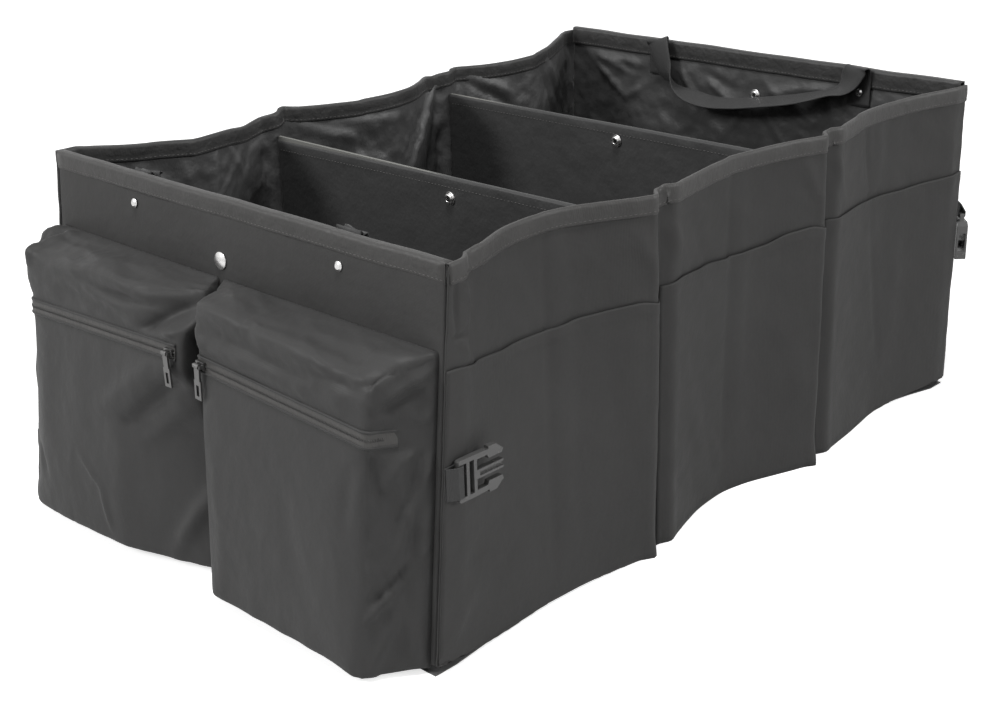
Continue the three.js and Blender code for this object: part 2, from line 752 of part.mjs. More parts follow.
// A flat loop of webbing around a buckle's first bar. The buckle's own frame has X the way it
// points, Y its thickness with the bag on +Y, and Z its width. The tail leads on to the bag.
function buckle_tab(group, name, length, tail = []) {
  const side = male_thickness / 2 + web_clearance + web_tape / 2;
  const turn = buckle_bar + web_clearance + web_tape / 2;
  const half_bar = male_thickness / 2;
  const before_bar = -2 * web_clearance - web_tape / 2;
  const path = [
    [-length, side - web_tape - layer_gap],
    [before_bar, -side],
    [buckle_bar, -side],
    [turn, -half_bar],
    [turn, half_bar],
    [buckle_bar, side],
    [before_bar, side],
    [-length, side],
  ];
  const loop = path.map(([x, y]) => ({
    at: new THREE.Vector3(x, y, 0),
    across: new THREE.Vector3(0, 0, 1),
  }));
  node(group, name, strap([...loop, ...tail], buckle_web, web_tape), webbing);
}

function rounded_frame(length, width) {
  const half = width / 2;
  const round = buckle_bar * buckle_corner_share;
  const shape = new THREE.Shape();
  shape.moveTo(round, -half);
  shape.lineTo(length, -half);
  shape.lineTo(length, half);
  shape.lineTo(round, half);
  shape.quadraticCurveTo(0, half, 0, half - round);
  shape.lineTo(0, -half + round);
  shape.quadraticCurveTo(0, -half, round, -half);
  return shape;
}

// A slot for webbing through the buckle's whole thickness
function web_slot(from) {
  const half = buckle_web / 2 + web_clearance;
  return solid(box([from, from + buckle_slot], [-female_thickness, female_thickness], [-half, half]));
}

// A flat outline in the buckle's X and Z, as thick as given in Y
function flat_piece(shape, thickness) {
  return reshaped(prism(shape, thickness, 3), (p) => [p.x, thickness / 2 - p.z, p.y]);
}

function male_buckle(group) {
  const base = 3 * buckle_bar + 2 * buckle_slot;
  let buckle = solid(flat_piece(rounded_frame(base, male_width), male_thickness));
  buckle = buckle.subtract(web_slot(buckle_bar)).subtract(web_slot(2 * buckle_bar + buckle_slot));
  const half = male_width / 2;
  const head_start = male_length - 2 * prong_head;
  for (const side of [-1, 1]) {
    const prong = outline([
      [base - run_in, side * half],
      [head_start, side * (half - prong_draft)],
      [head_start, side * (half + prong_barb)],
      [male_length - prong_head, side * (half + prong_barb)],
      [male_length, side * (half - prong_width)],
      [male_length - prong_barb, side * (half - prong_head)],
      [head_start, side * (half - prong_head)],
      [head_start - prong_barb, side * (half - prong_width)],
      [base - run_in, side * (half - prong_width)],
    ]);
    buckle = buckle.add(solid(flat_piece(prong, male_thickness)));
  }
  const half_guide = guide_width / 2;
  const half_thickness = male_thickness / 2;
  const guide_x = [base - run_in, male_length];
  const guide = box(guide_x, [-half_thickness, half_thickness], [-half_guide, half_guide]);
  const groove_x = [base + buckle_bar, male_length + run_in];
  const groove = box(groove_x, [-male_thickness, 0], [-half_guide / 2, half_guide / 2]);
  buckle = buckle.add(solid(guide)).subtract(solid(groove));
  node(group, 'male_buckle', buckle, moulded_plastic);
}

// The female half: a bar for its webbing, and a housing that is open at its mouth and both sides
function female_buckle(group) {
  const base = buckle_bar + buckle_slot;
  const half = female_width / 2;
  const housing = outline([
    [base, -half + female_shoulder],
    [base + female_shoulder, -half],
    [female_length, -half],
    [female_length, half],
    [base + female_shoulder, half],
    [base, half - female_shoulder],
  ]);
  const bar = rounded_frame(base + run_in, female_width - 2 * female_shoulder);
  let buckle = solid(flat_piece(bar, male_thickness)).subtract(web_slot(buckle_bar));
  buckle = buckle.add(solid(flat_piece(housing, female_thickness)));
  const half_room = female_thickness / 2 - female_wall;
  const room_y = [-half_room, half_room];
  const half_mouth = half - female_wall;
  const mouth_x = [base + female_wall, female_length + run_in];
  buckle = buckle.subtract(solid(box(mouth_x, room_y, [-half_mouth, half_mouth])));
  const window_x = [base + 3 * female_shoulder, female_length - 2 * female_shoulder];
  const window_z = [-half - run_in, half + run_in];
  buckle = buckle.subtract(solid(box(window_x, room_y, window_z)));
  node(group, 'female_buckle', buckle, moulded_plastic);
}

// The far and near ends are built in a frame with its origin on the rim, over the middle of the
// panel's thickness, with X pointing into the bag.
const organizer = new THREE.Group();

const front_end = new THREE.Group();
front_end.position.set(-rim_length / 2 + panel_half, 0, rim_height);
front_end.rotation.y = tilt;
organizer.add(front_end);

const rear_end = new THREE.Group();
rear_end.position.set(rim_length / 2 - panel_half, 0, rim_height);
rear_end.rotation.z = Math.PI;
organizer.add(rear_end);

function end_panel(group, name, from, to, height, snap, own_handle) {
  const { rivet_drop } = own_handle;
  const rivet_bores = [-rivet_spread, rivet_spread].map((y) => {
    return { y, z: -rivet_drop, radius: rivet_shank_radius };
  });
  const snap_bore = { y: snap.y, z: -snap.drop, radius: snap_shank_radius };
  stiff_panel(group, `${name}_panel`, from, to, height, [...rivet_bores, snap_bore]);
  panel_binding(group, `rim_binding_${name}`, from, to);
  handle(group, `${name}_handle`, name === 'front' ? 1 : -1, own_handle);
  const right = name === 'front' ? -1 : 1;
  handle_rivet(group, `${name}_handle_rivet_right`, right * rivet_spread, rivet_drop);
  handle_rivet(group, `${name}_handle_rivet_left`, -right * rivet_spread, rivet_drop);
  snap_cap(group, `${name}_snap_cap`, -1, snap.y, -snap.drop);
  snap_socket(group, `${name}_snap_socket`, 1, snap.y, -snap.drop);
}

const front_left_edge = end_panel_edge + front_left_flare;
const front_snap = { y: pocket_meeting_y, drop: front_snap_drop };
end_panel(
  front_end, 'front', -end_panel_edge, front_left_edge, front_panel_height,
  front_snap, front_handle,
);

const rear_left_edge = -end_panel_edge - rear_left_flare;
const rear_snap = { y: 0, drop: rear_snap_drop };
end_panel(
  rear_end, 'rear', rear_left_edge, end_panel_edge, rim_height - panel_seat,
  rear_snap, rear_handle,
);

divider_snaps.forEach(({ y, drop }, index) => {
  const divider = new THREE.Group();
  const name = `divider_${index + 1}`;
  divider.position.set(bay_edge(index + 1), 0, divider_top);
  organizer.add(divider);
  const bore = { y, z: -drop, radius: snap_shank_radius };
  stiff_panel(divider, name, -divider_edge, divider_edge, divider_top - panel_seat, [bore]);
  snap_socket(divider, `${name}_snap_socket`, -1, y, -drop);
  snap_stud(divider, `${name}_snap_stud`, 1, y, -drop);
});

for (const side of ['right', 'left']) {
  side_wall(organizer, side);
  wall_binding(organizer, side);
}
const bay_names = ['front', 'middle', 'rear'];
side_pockets(organizer, 'right', bay_names);
floor_cloth(organizer);
base_boards(organizer, bay_names);

const pocket_edge_right = pocket_meeting_y - pocket_between / 2;
const pocket_edge_left = pocket_meeting_y + pocket_between / 2;
const right_limit = -end_panel_edge + pocket_side_margin;
const left_limit = front_left_edge - pocket_side_margin;
zip_pocket(front_end, 'right', right_limit, pocket_edge_right, right_pocket_form);
zip_pocket(front_end, 'left', left_limit, pocket_edge_left, left_pocket_form);

// The male buckle lies on the right wall, on a tab from the front corner's seam
const male = new THREE.Group();
const tab_half = male_thickness / 2 + web_clearance + web_tape;
const wall_skin = rim_width / 2 + layer_gap + side_pocket_cloth;
const front_at_male = bay_edge(0) - front_lean * (1 - male_centre_z / rim_height);
const male_y = -wall_skin - layer_gap - tab_half;
male.position.set(front_at_male + male_tab_length, male_y, male_centre_z);
organizer.add(male);
buckle_tab(male, 'male_buckle_tab', male_tab_length);
male_buckle(male);

// The female buckle hangs on webbing that is sewn to the far panel's outer face, by the corner.
// The buckle points down, and it is turned so that its edge looks back past the corner.
const female = new THREE.Group();
const down = new THREE.Vector3(0, 0, -1);
const female_across = new THREE.Vector3(Math.cos(female_turn), Math.sin(female_turn), 0);
const bag_side = female_across.clone().cross(down);
const female_at = new THREE.Vector3(
  rim_length / 2 + female_out, -rim_width / 2 + female_from_corner, female_bar_z,
);
const female_frame = new THREE.Matrix4().makeBasis(down, bag_side, female_across);
female_frame.setPosition(female_at);
female_frame.decompose(female.position, female.quaternion, female.scale);
organizer.add(female);
const to_female = female_frame.clone().invert();
const sewn_x = rim_length / 2 + layer_gap + web_tape / 2;
const sewn_y = -rim_width / 2 + female_from_corner + buckle_web / 2;
const sewn_z = female_bar_z + female_tab_fall;
const tail_station = (x, y, z, turn) => {
  const across = new THREE.Vector3(Math.cos(turn), Math.sin(turn), 0);
  return {
    at: new THREE.Vector3(x, y, z).applyMatrix4(to_female),
    across: across.transformDirection(to_female),
  };
};
const half_way = 0.5;
const tail = [
  tail_station(
    THREE.MathUtils.lerp(female_at.x, sewn_x, half_way),
    THREE.MathUtils.lerp(female_at.y, sewn_y, half_way),
    THREE.MathUtils.lerp(female_bar_z + female_tab_length, sewn_z, half_way),
    THREE.MathUtils.lerp(female_turn, Math.PI / 2, half_way),
  ),
  tail_station(sewn_x + web_tape / 2, sewn_y, sewn_z, Math.PI / 2),
  tail_station(sewn_x, sewn_y, sewn_z + female_tab_sewn, Math.PI / 2),
];
buckle_tab(female, 'female_buckle_tab', female_tab_length, tail);
female_buckle(female);

export default organizer;
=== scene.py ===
import math
import bmesh
import bpy
from mathutils import Matrix, Vector, noise
from mathutils.bvhtree import BVHTree


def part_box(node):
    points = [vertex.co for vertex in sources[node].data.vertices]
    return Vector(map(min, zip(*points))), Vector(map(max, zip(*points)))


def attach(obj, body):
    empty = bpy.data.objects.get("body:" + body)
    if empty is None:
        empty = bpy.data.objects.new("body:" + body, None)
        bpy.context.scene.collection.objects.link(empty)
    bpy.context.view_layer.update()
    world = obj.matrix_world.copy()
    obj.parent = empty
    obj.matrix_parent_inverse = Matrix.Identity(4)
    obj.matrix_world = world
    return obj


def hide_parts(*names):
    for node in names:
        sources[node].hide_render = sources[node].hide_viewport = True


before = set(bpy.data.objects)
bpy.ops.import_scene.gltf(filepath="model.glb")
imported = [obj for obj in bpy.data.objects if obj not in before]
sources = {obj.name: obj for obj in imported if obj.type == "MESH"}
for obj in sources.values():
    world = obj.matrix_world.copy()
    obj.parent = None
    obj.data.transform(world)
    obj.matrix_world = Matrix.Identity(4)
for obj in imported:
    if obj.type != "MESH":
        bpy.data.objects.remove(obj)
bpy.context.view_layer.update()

MM = 0.001

# The view. The organizer is seen from above its front right corner, through a long lens whose
# place and turn were worked out from the rim's corners, the dividers and the feet.
picture_width = 1000
focal_pixels = 1602.0
sensor = 36.0
view_azimuth, view_elevation, view_roll = (math.radians(a) for a in (-45.736, 21.668, -1.521))
view_place = Vector((-1058.65, -976.55, 652.73)) * MM
back = Vector((
    math.sin(view_azimuth) * math.cos(view_elevation),
    -math.cos(view_azimuth) * math.cos(view_elevation),
    math.sin(view_elevation),
))
level_right = (-back).cross(Vector((0, 0, 1))).normalized()
level_up = level_right.cross(-back)
right = math.cos(view_roll) * level_right + math.sin(view_roll) * level_up
up = -math.sin(view_roll) * level_right + math.cos(view_roll) * level_up
camera = bpy.data.objects.new("view", bpy.data.cameras.new("view"))
camera.data.sensor_width = sensor
camera.data.lens = focal_pixels * sensor / picture_width
camera.data.clip_start, camera.data.clip_end = 0.01, 100
camera.matrix_world = Matrix.Translation(view_place) @ Matrix((right, up, back)).transposed().to_4x4()
bpy.context.scene.collection.objects.link(camera)
bpy.context.scene.camera = camera

# Studio light. A soft key stands before the zipped pockets, a second lamp lights the long right wall,
# a small one hangs above, and the pale surroundings fill in the rest.
scene = bpy.context.scene
scene.view_settings.view_transform = "Standard"


def softbox(name, place, aim, size, power):
    light = bpy.data.lights.new(name, "AREA")
    light.shape = "DISK"
    light.size = size
    light.energy = power
    lamp = bpy.data.objects.new(name, light)
    lamp.location = place
    lamp.rotation_euler = (Vector(aim) - Vector(place)).to_track_quat("-Z", "Y").to_euler()
    scene.collection.objects.link(lamp)


bag_middle = (0, 0, 0.15)
softbox("key_light", (-3.3, 1.5, 2.4), bag_middle, 1.2, 70)
softbox("wall_light", (2.8, -5.5, 2.8), bag_middle, 2.2, 134)
softbox("top_light", (-0.9, -0.5, 3.8), bag_middle, 1.0, 80)


# Shader building. A value is a socket, and sums and products of values add their Math nodes.
class Value:
    def __init__(self, tree, socket):
        self.tree = tree
        self.socket = socket

    def math(self, operation, first, second=None):
        node = self.tree.nodes.new("ShaderNodeMath")
        node.operation = operation
        for slot_in, given in zip(node.inputs, (first, second)):
            if isinstance(given, Value):
                self.tree.links.new(given.socket, slot_in)
            elif given is not None:
                slot_in.default_value = given
        return Value(self.tree, node.outputs[0])

    def __add__(self, other):
        return self.math("ADD", self, other)

    __radd__ = __add__

    def __mul__(self, other):
        return self.math("MULTIPLY", self, other)

    __rmul__ = __mul__

    def __sub__(self, other):
        return self.math("SUBTRACT", self, other)

    def __rsub__(self, other):
        return self.math("SUBTRACT", other, self)

    def sine(self):
        return self.math("SINE", self)


class Finish:
    def __init__(self, name, **fixed):
        self.material = bpy.data.materials.new(name)
        self.material.use_nodes = True
        self.tree = self.material.node_tree
        self.shader = self.tree.nodes["Principled BSDF"]
        for socket, value in fixed.items():
            self.shader.inputs[socket.replace("_", " ")].default_value = value

    def node(self, kind, settings=None, sockets=None, output=0):
        node = self.tree.nodes.new(kind)
        for key, value in (settings or {}).items():
            setattr(node, key, value)
        for key, value in (sockets or {}).items():
            self.plug(value, node.inputs[key])
        return Value(self.tree, node.outputs[output])

    def plug(self, value, socket):
        if isinstance(value, Value):
            self.tree.links.new(value.socket, socket)
        else:
            socket.default_value = value

    def place(self):
        return self.node("ShaderNodeTexCoord", output=3)

    def axes(self, vector):
        split = self.node("ShaderNodeSeparateXYZ", sockets={0: vector})
        outputs = split.socket.node.outputs
        return [Value(self.tree, outputs[i]) for i in range(3)]

    def noise(self, vector, scale, detail=3.0, roughness=0.5):
        sockets = {"Vector": vector, "Scale": scale, "Detail": detail, "Roughness": roughness}
        return self.node("ShaderNodeTexNoise", sockets=sockets)

    def tint(self, factor, dark, light):
        sockets = {0: factor, 6: (*dark, 1), 7: (*light, 1)}
        return self.node("ShaderNodeMix", {"data_type": "RGBA"}, sockets, output=2)

    def bump(self, height, distance, strength=1.0, under=None):
        sockets = {"Height": height, "Distance": distance, "Strength": strength}
        if under is not None:
            sockets["Normal"] = under
        return self.node("ShaderNodeBump", sockets=sockets)

    def set(self, **values):
        for socket, value in values.items():
            self.plug(value, self.shader.inputs[socket.replace("_", " ")])
        return self


def grey(level, warm=0.0):
    """A linear grey from a picture tone of 0 to 255, with a touch of warmth."""
    linear = (level / 255) ** 2.2
    return (linear * (1 + warm), linear, linear * (1 - warm))


# The floor and the surroundings. A plain pale floor runs on to a white surround, and only the
# organizer's own soft shadow shows on it.
floor_tone, floor_glow = 0.82, 0.72


def stage_finish():
    finish = Finish("pale_floor", Roughness=0.9, Base_Color=(floor_tone, floor_tone, floor_tone, 1))
    rays = finish.tree.nodes.new("ShaderNodeLightPath")
    seen = Value(finish.tree, rays.outputs["Is Camera Ray"])
    glow = finish.node("ShaderNodeEmission", sockets={"Color": (1, 1, 1, 1), "Strength": seen * floor_glow})
    plain = Value(finish.tree, finish.shader.outputs[0])
    both = finish.node("ShaderNodeAddShader", sockets={0: plain, 1: glow})
    finish.plug(both, finish.tree.nodes["Material Output"].inputs["Surface"])
    return finish.material


floor_shape = bmesh.new()
bmesh.ops.create_circle(floor_shape, cap_ends=True, segments=96, radius=14)
floor_mesh = bpy.data.meshes.new("floor")
floor_shape.to_mesh(floor_mesh)
floor_shape.free()
floor = bpy.data.objects.new("floor", floor_mesh)
scene.collection.objects.link(floor)
floor.data.materials.append(stage_finish())

world = bpy.data.worlds.new("surround")
scene.world = world
world.use_nodes = True
world_tree = world.node_tree
path = world_tree.nodes.new("ShaderNodeLightPath")
seen = Value(world_tree, path.outputs["Is Camera Ray"])
mirrored = Value(world_tree, path.outputs["Is Glossy Ray"])
sheet_through = Value(world_tree, path.outputs["Is Transmission Ray"])
surround = world_tree.nodes["Background"]
surround.inputs["Color"].default_value = (1, 1, 1, 1)
plain_fill, mirrored_fill = 0.21, 0.65
brightness = plain_fill + (1 - plain_fill) * (seen + sheet_through) + mirrored_fill * mirrored
world_tree.links.new(brightness.socket, surround.inputs["Strength"])


# The outer cloth is charcoal polyester in a plain weave, coated on its inner face. The coating
# gives it a dull sheen, and handling leaves faint soft creases all over it.
def woven(finish, vector, pitch):
    """The crossing threads of a plain weave, the same on any face."""
    waves = [(axis * (math.tau / pitch)).sine() for axis in finish.axes(vector)]
    return waves[0] + waves[1] + waves[2]


def cloth_finish(name, level, warm, sheen, roughness, pitch, crease, weave_depth, shine=0.25):
    finish = Finish(name, Specular_IOR_Level=shine, Sheen_Weight=sheen, Sheen_Roughness=0.4)
    vector = finish.place()
    broad = finish.noise(vector, 9, 3, 0.55)
    fine = finish.noise(vector, 420, 2, 0.6)
    color = finish.tint(broad * 0.7 + fine * 0.3, grey(level * 0.9, warm), grey(level * 1.1, warm))
    folds = finish.noise(vector, 26, 4, 0.55)
    soft = finish.bump(folds, crease)
    threads = finish.bump(woven(finish, vector, pitch), weave_depth, 0.6, soft)
    rough = roughness + 0.16 * (finish.noise(vector, 60, 3) - 0.5)
    return finish.set(Base_Color=color, Roughness=rough, Normal=threads).material


outer_cloth = cloth_finish("charcoal_cloth", 70, 0.012, 0.03, 0.52, 1.1 * MM, 1.8 * MM, 0.02 * MM, 0.08)
lining_cloth = cloth_finish("coated_lining", 88, 0.0, 0.0, 0.44, 0.9 * MM, 3.2 * MM, 0.02 * MM, 0.4)

# The long right wall is one strip of cloth from corner to corner. It is sewn to the end panels and
# to both dividers, so it buckles inward along the middle of each bay, where the bag folds.
sewn_gap = 0.3 * MM


def surface(node_or_piece):
    mesh = node_or_piece.data
    corners = [v.co.copy() for v in mesh.vertices]
    return BVHTree.FromPolygons(corners, [list(p.vertices) for p in mesh.polygons])


def finished(name, shape, material, body="bag", smooth=True):
    """Turns a bmesh into a piece that rides on a body."""
    mesh = bpy.data.meshes.new(name)
    shape.to_mesh(mesh)
    shape.free()
    for polygon in mesh.polygons:
        polygon.use_smooth = smooth
    piece = bpy.data.objects.new(name, mesh)
    scene.collection.objects.link(piece)
    mesh.materials.append(material)
    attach(piece, body)
    return piece


def cloth_grid(across, upward, place, outward):
    """A sheet of cloth of so many columns and rows, laid out by place(u, v) with u and v from 0 to 1."""
    shape = bmesh.new()
    bmesh.ops.create_grid(shape, x_segments=across, y_segments=upward, size=0.5)
    for corner in shape.verts:
        corner.co = place(corner.co.x + 0.5, corner.co.y + 0.5)
    shape.normal_update()
    facing = sum((f.normal for f in shape.faces), Vector()).dot(Vector(outward))
    if facing < 0:
        bmesh.ops.reverse_faces(shape, faces=shape.faces)
    return shape


def thicken(piece, thickness):
    solidify = piece.modifiers.new("thickness", "SOLIDIFY")
    solidify.thickness = thickness
    solidify.offset = -1
    return solidify


def ridge(x, y, start, end, width):
    """How close a place is to a crease from start to end: 1 on it, and 0 well away from it."""
    (ax, ay), (bx, by) = start, end
    run_x, run_y, away_x, away_y = bx - ax, by - ay, x - ax, y - ay
    along = (away_x * run_x + away_y * run_y) / (run_x * run_x + run_y * run_y)
    nearest = min(max(along, 0), 1)
    apart = ((away_x - nearest * run_x) ** 2 + (away_y - nearest * run_y) ** 2) / width ** 2
    if apart > 9:
        return 0
    return math.sin(math.pi * min(max(along, 0.04), 0.96)) ** 0.5 * math.exp(-apart)


def creased(x, y, creases):
    """The height of a list of creases, each with its two ends, its half width and its height, in mm."""
    x, y = x / MM, y / MM
    return MM * sum(h * ridge(x, y, start, end, w) for start, end, w, h in creases)


def relax(piece, pins, growth, cap, frames=16, pressure=0.0, loose=None):
    """Lets cloth that is a little too large for its seams buckle, and keeps each point near its place."""
    held = piece.vertex_groups.new(name="held")
    full = piece.vertex_groups.new(name="full")
    start = [v.co.copy() for v in piece.data.vertices]
    for i, point in enumerate(start):
        held.add([i], pins(point), "REPLACE")
        full.add([i], 1.0 if loose is None else loose(point), "REPLACE")
    cloth = piece.modifiers.new("cloth", "CLOTH")
    cloth_settings = {
        "quality": 5, "mass": 0.2, "tension_stiffness": 25, "compression_stiffness": 25,
        "shear_stiffness": 12, "bending_stiffness": 0.8, "vertex_group_mass": "held",
        "vertex_group_shrink": "full", "shrink_min": 0.0, "shrink_max": -growth,
        "use_pressure": pressure > 0, "uniform_pressure_force": pressure}
    for key, value in cloth_settings.items():
        setattr(cloth.settings, key, value)
    cloth.settings.effector_weights.gravity = 0.0
    cloth.collision_settings.use_collision = False
    cloth.collision_settings.use_self_collision = False
    cloth.point_cache.frame_start = 1
    cloth.point_cache.frame_end = frames
    for number in range(1, frames + 1):
        scene.frame_set(number)
    graph = bpy.context.evaluated_depsgraph_get()
    moved = [v.co.copy() for v in piece.evaluated_get(graph).data.vertices]
    piece.modifiers.remove(cloth)
    for v, before, after in zip(piece.data.vertices, start, moved):
        shift = after - before
        limit = cap(before) if callable(cap) else cap
        if shift.length > limit:
            shift *= limit / shift.length
        v.co = before + shift
    piece.vertex_groups.clear()
    scene.frame_set(1)


def subdivided(piece):
    """Halves every face of a piece, smoothly."""
    finer = piece.modifiers.new("finer", "SUBSURF")
    finer.levels = finer.render_levels = 1
    graph = bpy.context.evaluated_depsgraph_get()
    mesh = bpy.data.meshes.new_from_object(piece.evaluated_get(graph))
    piece.modifiers.remove(finer)
    piece.data = mesh


cloth_thickness = 1.2 * MM
rim_height = 310 * MM
rim_half_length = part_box("right_side_wall")[1].x
foot_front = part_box("right_side_wall")[0].x
front_lean = -rim_half_length - foot_front
divider_x = [-rim_half_length / 3, rim_half_length / 3]
bay_ends = [-rim_half_length, *divider_x, rim_half_length]
bay_length = divider_x[1] - divider_x[0]
wall_cell, seam_cell, seam_reach = 6 * MM, 2.4 * MM, 26 * MM
wall_rows = 50


def column_places():
    """Where the cloth's columns stand along the rim: closer together beside the seams and corners."""
    places = []
    for start, end in zip(bay_ends, bay_ends[1:]):
        x = start
        while x < end - seam_cell / 2:
            places.append(x)
            x += seam_cell if min(x - start, end - x) < seam_reach else wall_cell
    return places + [rim_half_length]


columns = column_places()


def leaned(x, z):
    """A place along the rim, carried down to a height: the front corner leans out with its panel."""
    return x - front_lean * (1 - z / rim_height) * max((divider_x[0] - x) / bay_length, 0)


look_from, look_step, look_shifts = 0.6, 0.5 * MM, (0, 0.6 * MM, 1.4 * MM, 3 * MM)
half_width = 0.24


def seen_wall(tree, side, x, z):
    """How far out a CAD wall's outer face lies, found by looking at it from outside, a little lower
    or further along where there is no cloth."""
    x = min(max(x, foot_front + sewn_gap), rim_half_length - sewn_gap)
    for drop in range(60):
        height = max(min(z, rim_height - sewn_gap) - drop * look_step, sewn_gap)
        for shift in look_shifts:
            hit = tree.ray_cast(Vector((x + shift, side * look_from, height)), Vector((0, -side, 0)))[0]
            if hit:
                return hit.y
    return side * half_width


def bell(x, middle, width):
    """A smooth bump of 1 at its middle, with places in mm."""
    return math.exp(-((x / MM - middle) / width) ** 2)


def wall_grid(tree, side, rim_line):
    """The wall's outer face, row by row, with the edges of its folds a little rounded."""
    rows = []
    for j in range(wall_rows + 1):
        row = []
        for place, rim in zip(columns, rim_line):
            z = rim * j / wall_rows
            x = leaned(place, z)
            row.append(Vector((x, seen_wall(tree, side, x, z), z)))
        for _ in range(3):
            out = [p.y for p in row]
            for p, before, here, after in zip(row[1:-1], out, out[1:], out[2:]):
                p.y = (before + 2 * here + after) / 4
        rows.append(row)
    return rows


def wall_piece(name, rows, side):
    count = len(columns) - 1

    def place(u, v):
        return rows[round(v * wall_rows)][round(u * count)]

    piece = finished(name, cloth_grid(count, wall_rows, place, (0, side, 0)), outer_cloth)
    piece.data.materials.append(lining_cloth)
    return piece


def thick_wall(piece):
    """The cloth's thickness, with the coated lining on its inner face."""
    thicken(piece, cloth_thickness).material_offset = 1


def near_divider(x, reach):
    return min(abs(x - d) for d in divider_x) < reach


right_in_cad = surface(sources["right_side_wall"])
right_rows = wall_grid(right_in_cad, -1, [rim_height] * len(columns))
for row in right_rows:
    for p in row:
        p.y += 6 * MM * bell(p.x, -322, 11) * min(max((p.z / MM - 190) / 90, 0), 1)
right_wall = wall_piece("right_wall", right_rows, -1)
binding_depth = 14 * MM
corner_hold, foot_band = 12 * MM, 8 * MM


def wall_pins(top_of, rim_band, seam_half):
    """How firmly each point of a wall is held: fully at its rim, foot, corners and seams."""
    def pins(point):
        at_edge = point.z > top_of(point.x) - rim_band or point.z < foot_band
        from_corner = min(point.x - leaned(-rim_half_length, point.z), rim_half_length - point.x)
        return 1.0 if at_edge or from_corner < corner_hold or near_divider(point.x, seam_half) else 0.0
    return pins


relax(right_wall, wall_pins(lambda x: rim_height, 2 * binding_depth, 9 * MM), 0.004, 3.2 * MM)
subdivided(right_wall)

# Creases of the right wall, each with its ends (along the wall, up), half width and height
right_creases = [
    ((-345, 300), (-345, 258), 2.5, -1.6),
    ((-329, 300), (-327, 250), 4, 2.2),
    ((-348, 258), (-327, 256), 2.5, -3.0),
    ((-337, 250), (-322, 226), 4, 2.6),
    ((-318, 296), (-330, 262), 7, 1.8),
    ((-223, 306), (-240, 20), 3.5, -1.5),
    ((-210, 306), (-222, 40), 10, 1.6),
    ((-300, 296), (-262, 268), 12, 1.6),
    ((-150, 290), (-128, 240), 7, 2.0),
    ((-160, 240), (-150, 120), 12, 1.2),
    ((-125, 296), (-125, 6), 6, 3.4),
    ((-116, 296), (-116, 4), 2.5, -1.2),
    ((108, 296), (108, 6), 6, 3.4),
    ((117, 296), (117, 4), 2.5, -1.2),
    ((-110, 290), (-80, 236), 8, 1.8),
    ((-9, 306), (-3, 20), 3.5, -1.5),
    ((6, 306), (12, 60), 9, 1.6),
    ((-80, 292), (-48, 240), 9, -1.4),
    ((-66, 120), (-30, 30), 12, 2.8),
    ((-30, 70), (-6, 30), 6, 2.2),
    ((-100, 60), (-40, 24), 9, -1.8),
    ((60, 160), (96, 60), 14, 1.6),
    ((80, 292), (100, 250), 6, 1.8),
    ((126, 292), (150, 240), 7, 2.2),
    ((196, 306), (210, 232), 4, -2.0),
    ((209, 232), (243, 60), 4, -1.4),
    ((224, 306), (226, 240), 9, 1.8),
    ((258, 226), (262, 60), 14, 1.4),
    ((-330, 22), (-180, 20), 2.5, 1.0),
    ((-372, 16), (-330, 60), 8, 1.8),
    ((320, 290), (336, 200), 9, 1.2),
]


def add_creases(piece, creases, across, upward, outward):
    """Raises creases on a piece; across and upward pick the axes that their places are given on."""
    for v in piece.data.vertices:
        v.co += Vector(outward) * creased(v.co[across], v.co[upward], creases)
    piece.data.update()


def crumple(across, upward, size, seed):
    """Sharp-edged unevenness, as in crushed coated cloth, from about -0.7 to 0.5."""
    spot = Vector((across / size, seed, upward / size))
    total, share = 0, 1
    for _ in range(3):
        total += share * (0.3 - abs(noise.noise(spot)))
        spot, share = spot * 1.9 + Vector((7, 3, 1)), share * 0.55
    return total


def settle_foot(piece):
    """The foot of the right wall: it lifts at both corners, and bulges beside the seams."""
    for v in piece.data.vertices:
        x, z = v.co.x, v.co.z
        low = max(0, 1 - z / (80 * MM)) ** 2
        foot = max(0, 1 - z / (26 * MM))
        v.co.z += MM * low * (8 * bell(x, -376, 48) + 8 * bell(x, 352, 62) + 2.5 * bell(x, -230, 60))
        at_seams = 4 * bell(x, -131, 8) + 4 * bell(x, 102, 8)
        v.co.y -= MM * (low * (4 * bell(x, 62, 44) + 6 * bell(x, 190, 46)) + foot * at_seams)
        v.co.y -= MM * 1.1 * crumple(x + 0.5 * z, z, 46 * MM, 2.5) * min(max((z / MM - 20) / 40, 0), 1)
    piece.data.update()


add_creases(right_wall, right_creases, 0, 2, (0, -1, 0))
settle_foot(right_wall)
thick_wall(right_wall)
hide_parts("right_side_wall")

# Three flat pockets cover the lower two thirds of the right wall, one in each bay. Each is a patch
# of the same cloth, caught in the seams at its sides and along the foot, with a folded top hem.
pocket_cloth, pocket_slack = 1.0 * MM, 1.3 * MM
hem_depth, hem_fold, corner_inset = 11 * MM, 0.35 * MM, 0.5 * MM
hem_rows, patch_rows, patch_columns = 6, 40, 62
patches = [
    ("right_side_pocket_front", None, -117.3 * MM, [
        (-360, 235), (-330, 230), (-283, 224.5), (-233, 223), (-195, 225), (-150, 227), (-121, 222)]),
    ("right_side_pocket_middle", -116.0 * MM, 116.0 * MM, [
        (-112, 231), (-92, 233), (-54, 230), (-9, 226), (35, 225.5), (67, 231), (88, 232), (112, 227)]),
    ("right_side_pocket_rear", 117.3 * MM, rim_half_length - sewn_gap, [
        (119, 230), (168, 228), (217, 226), (265, 224), (306, 225), (350, 226.5)]),
]


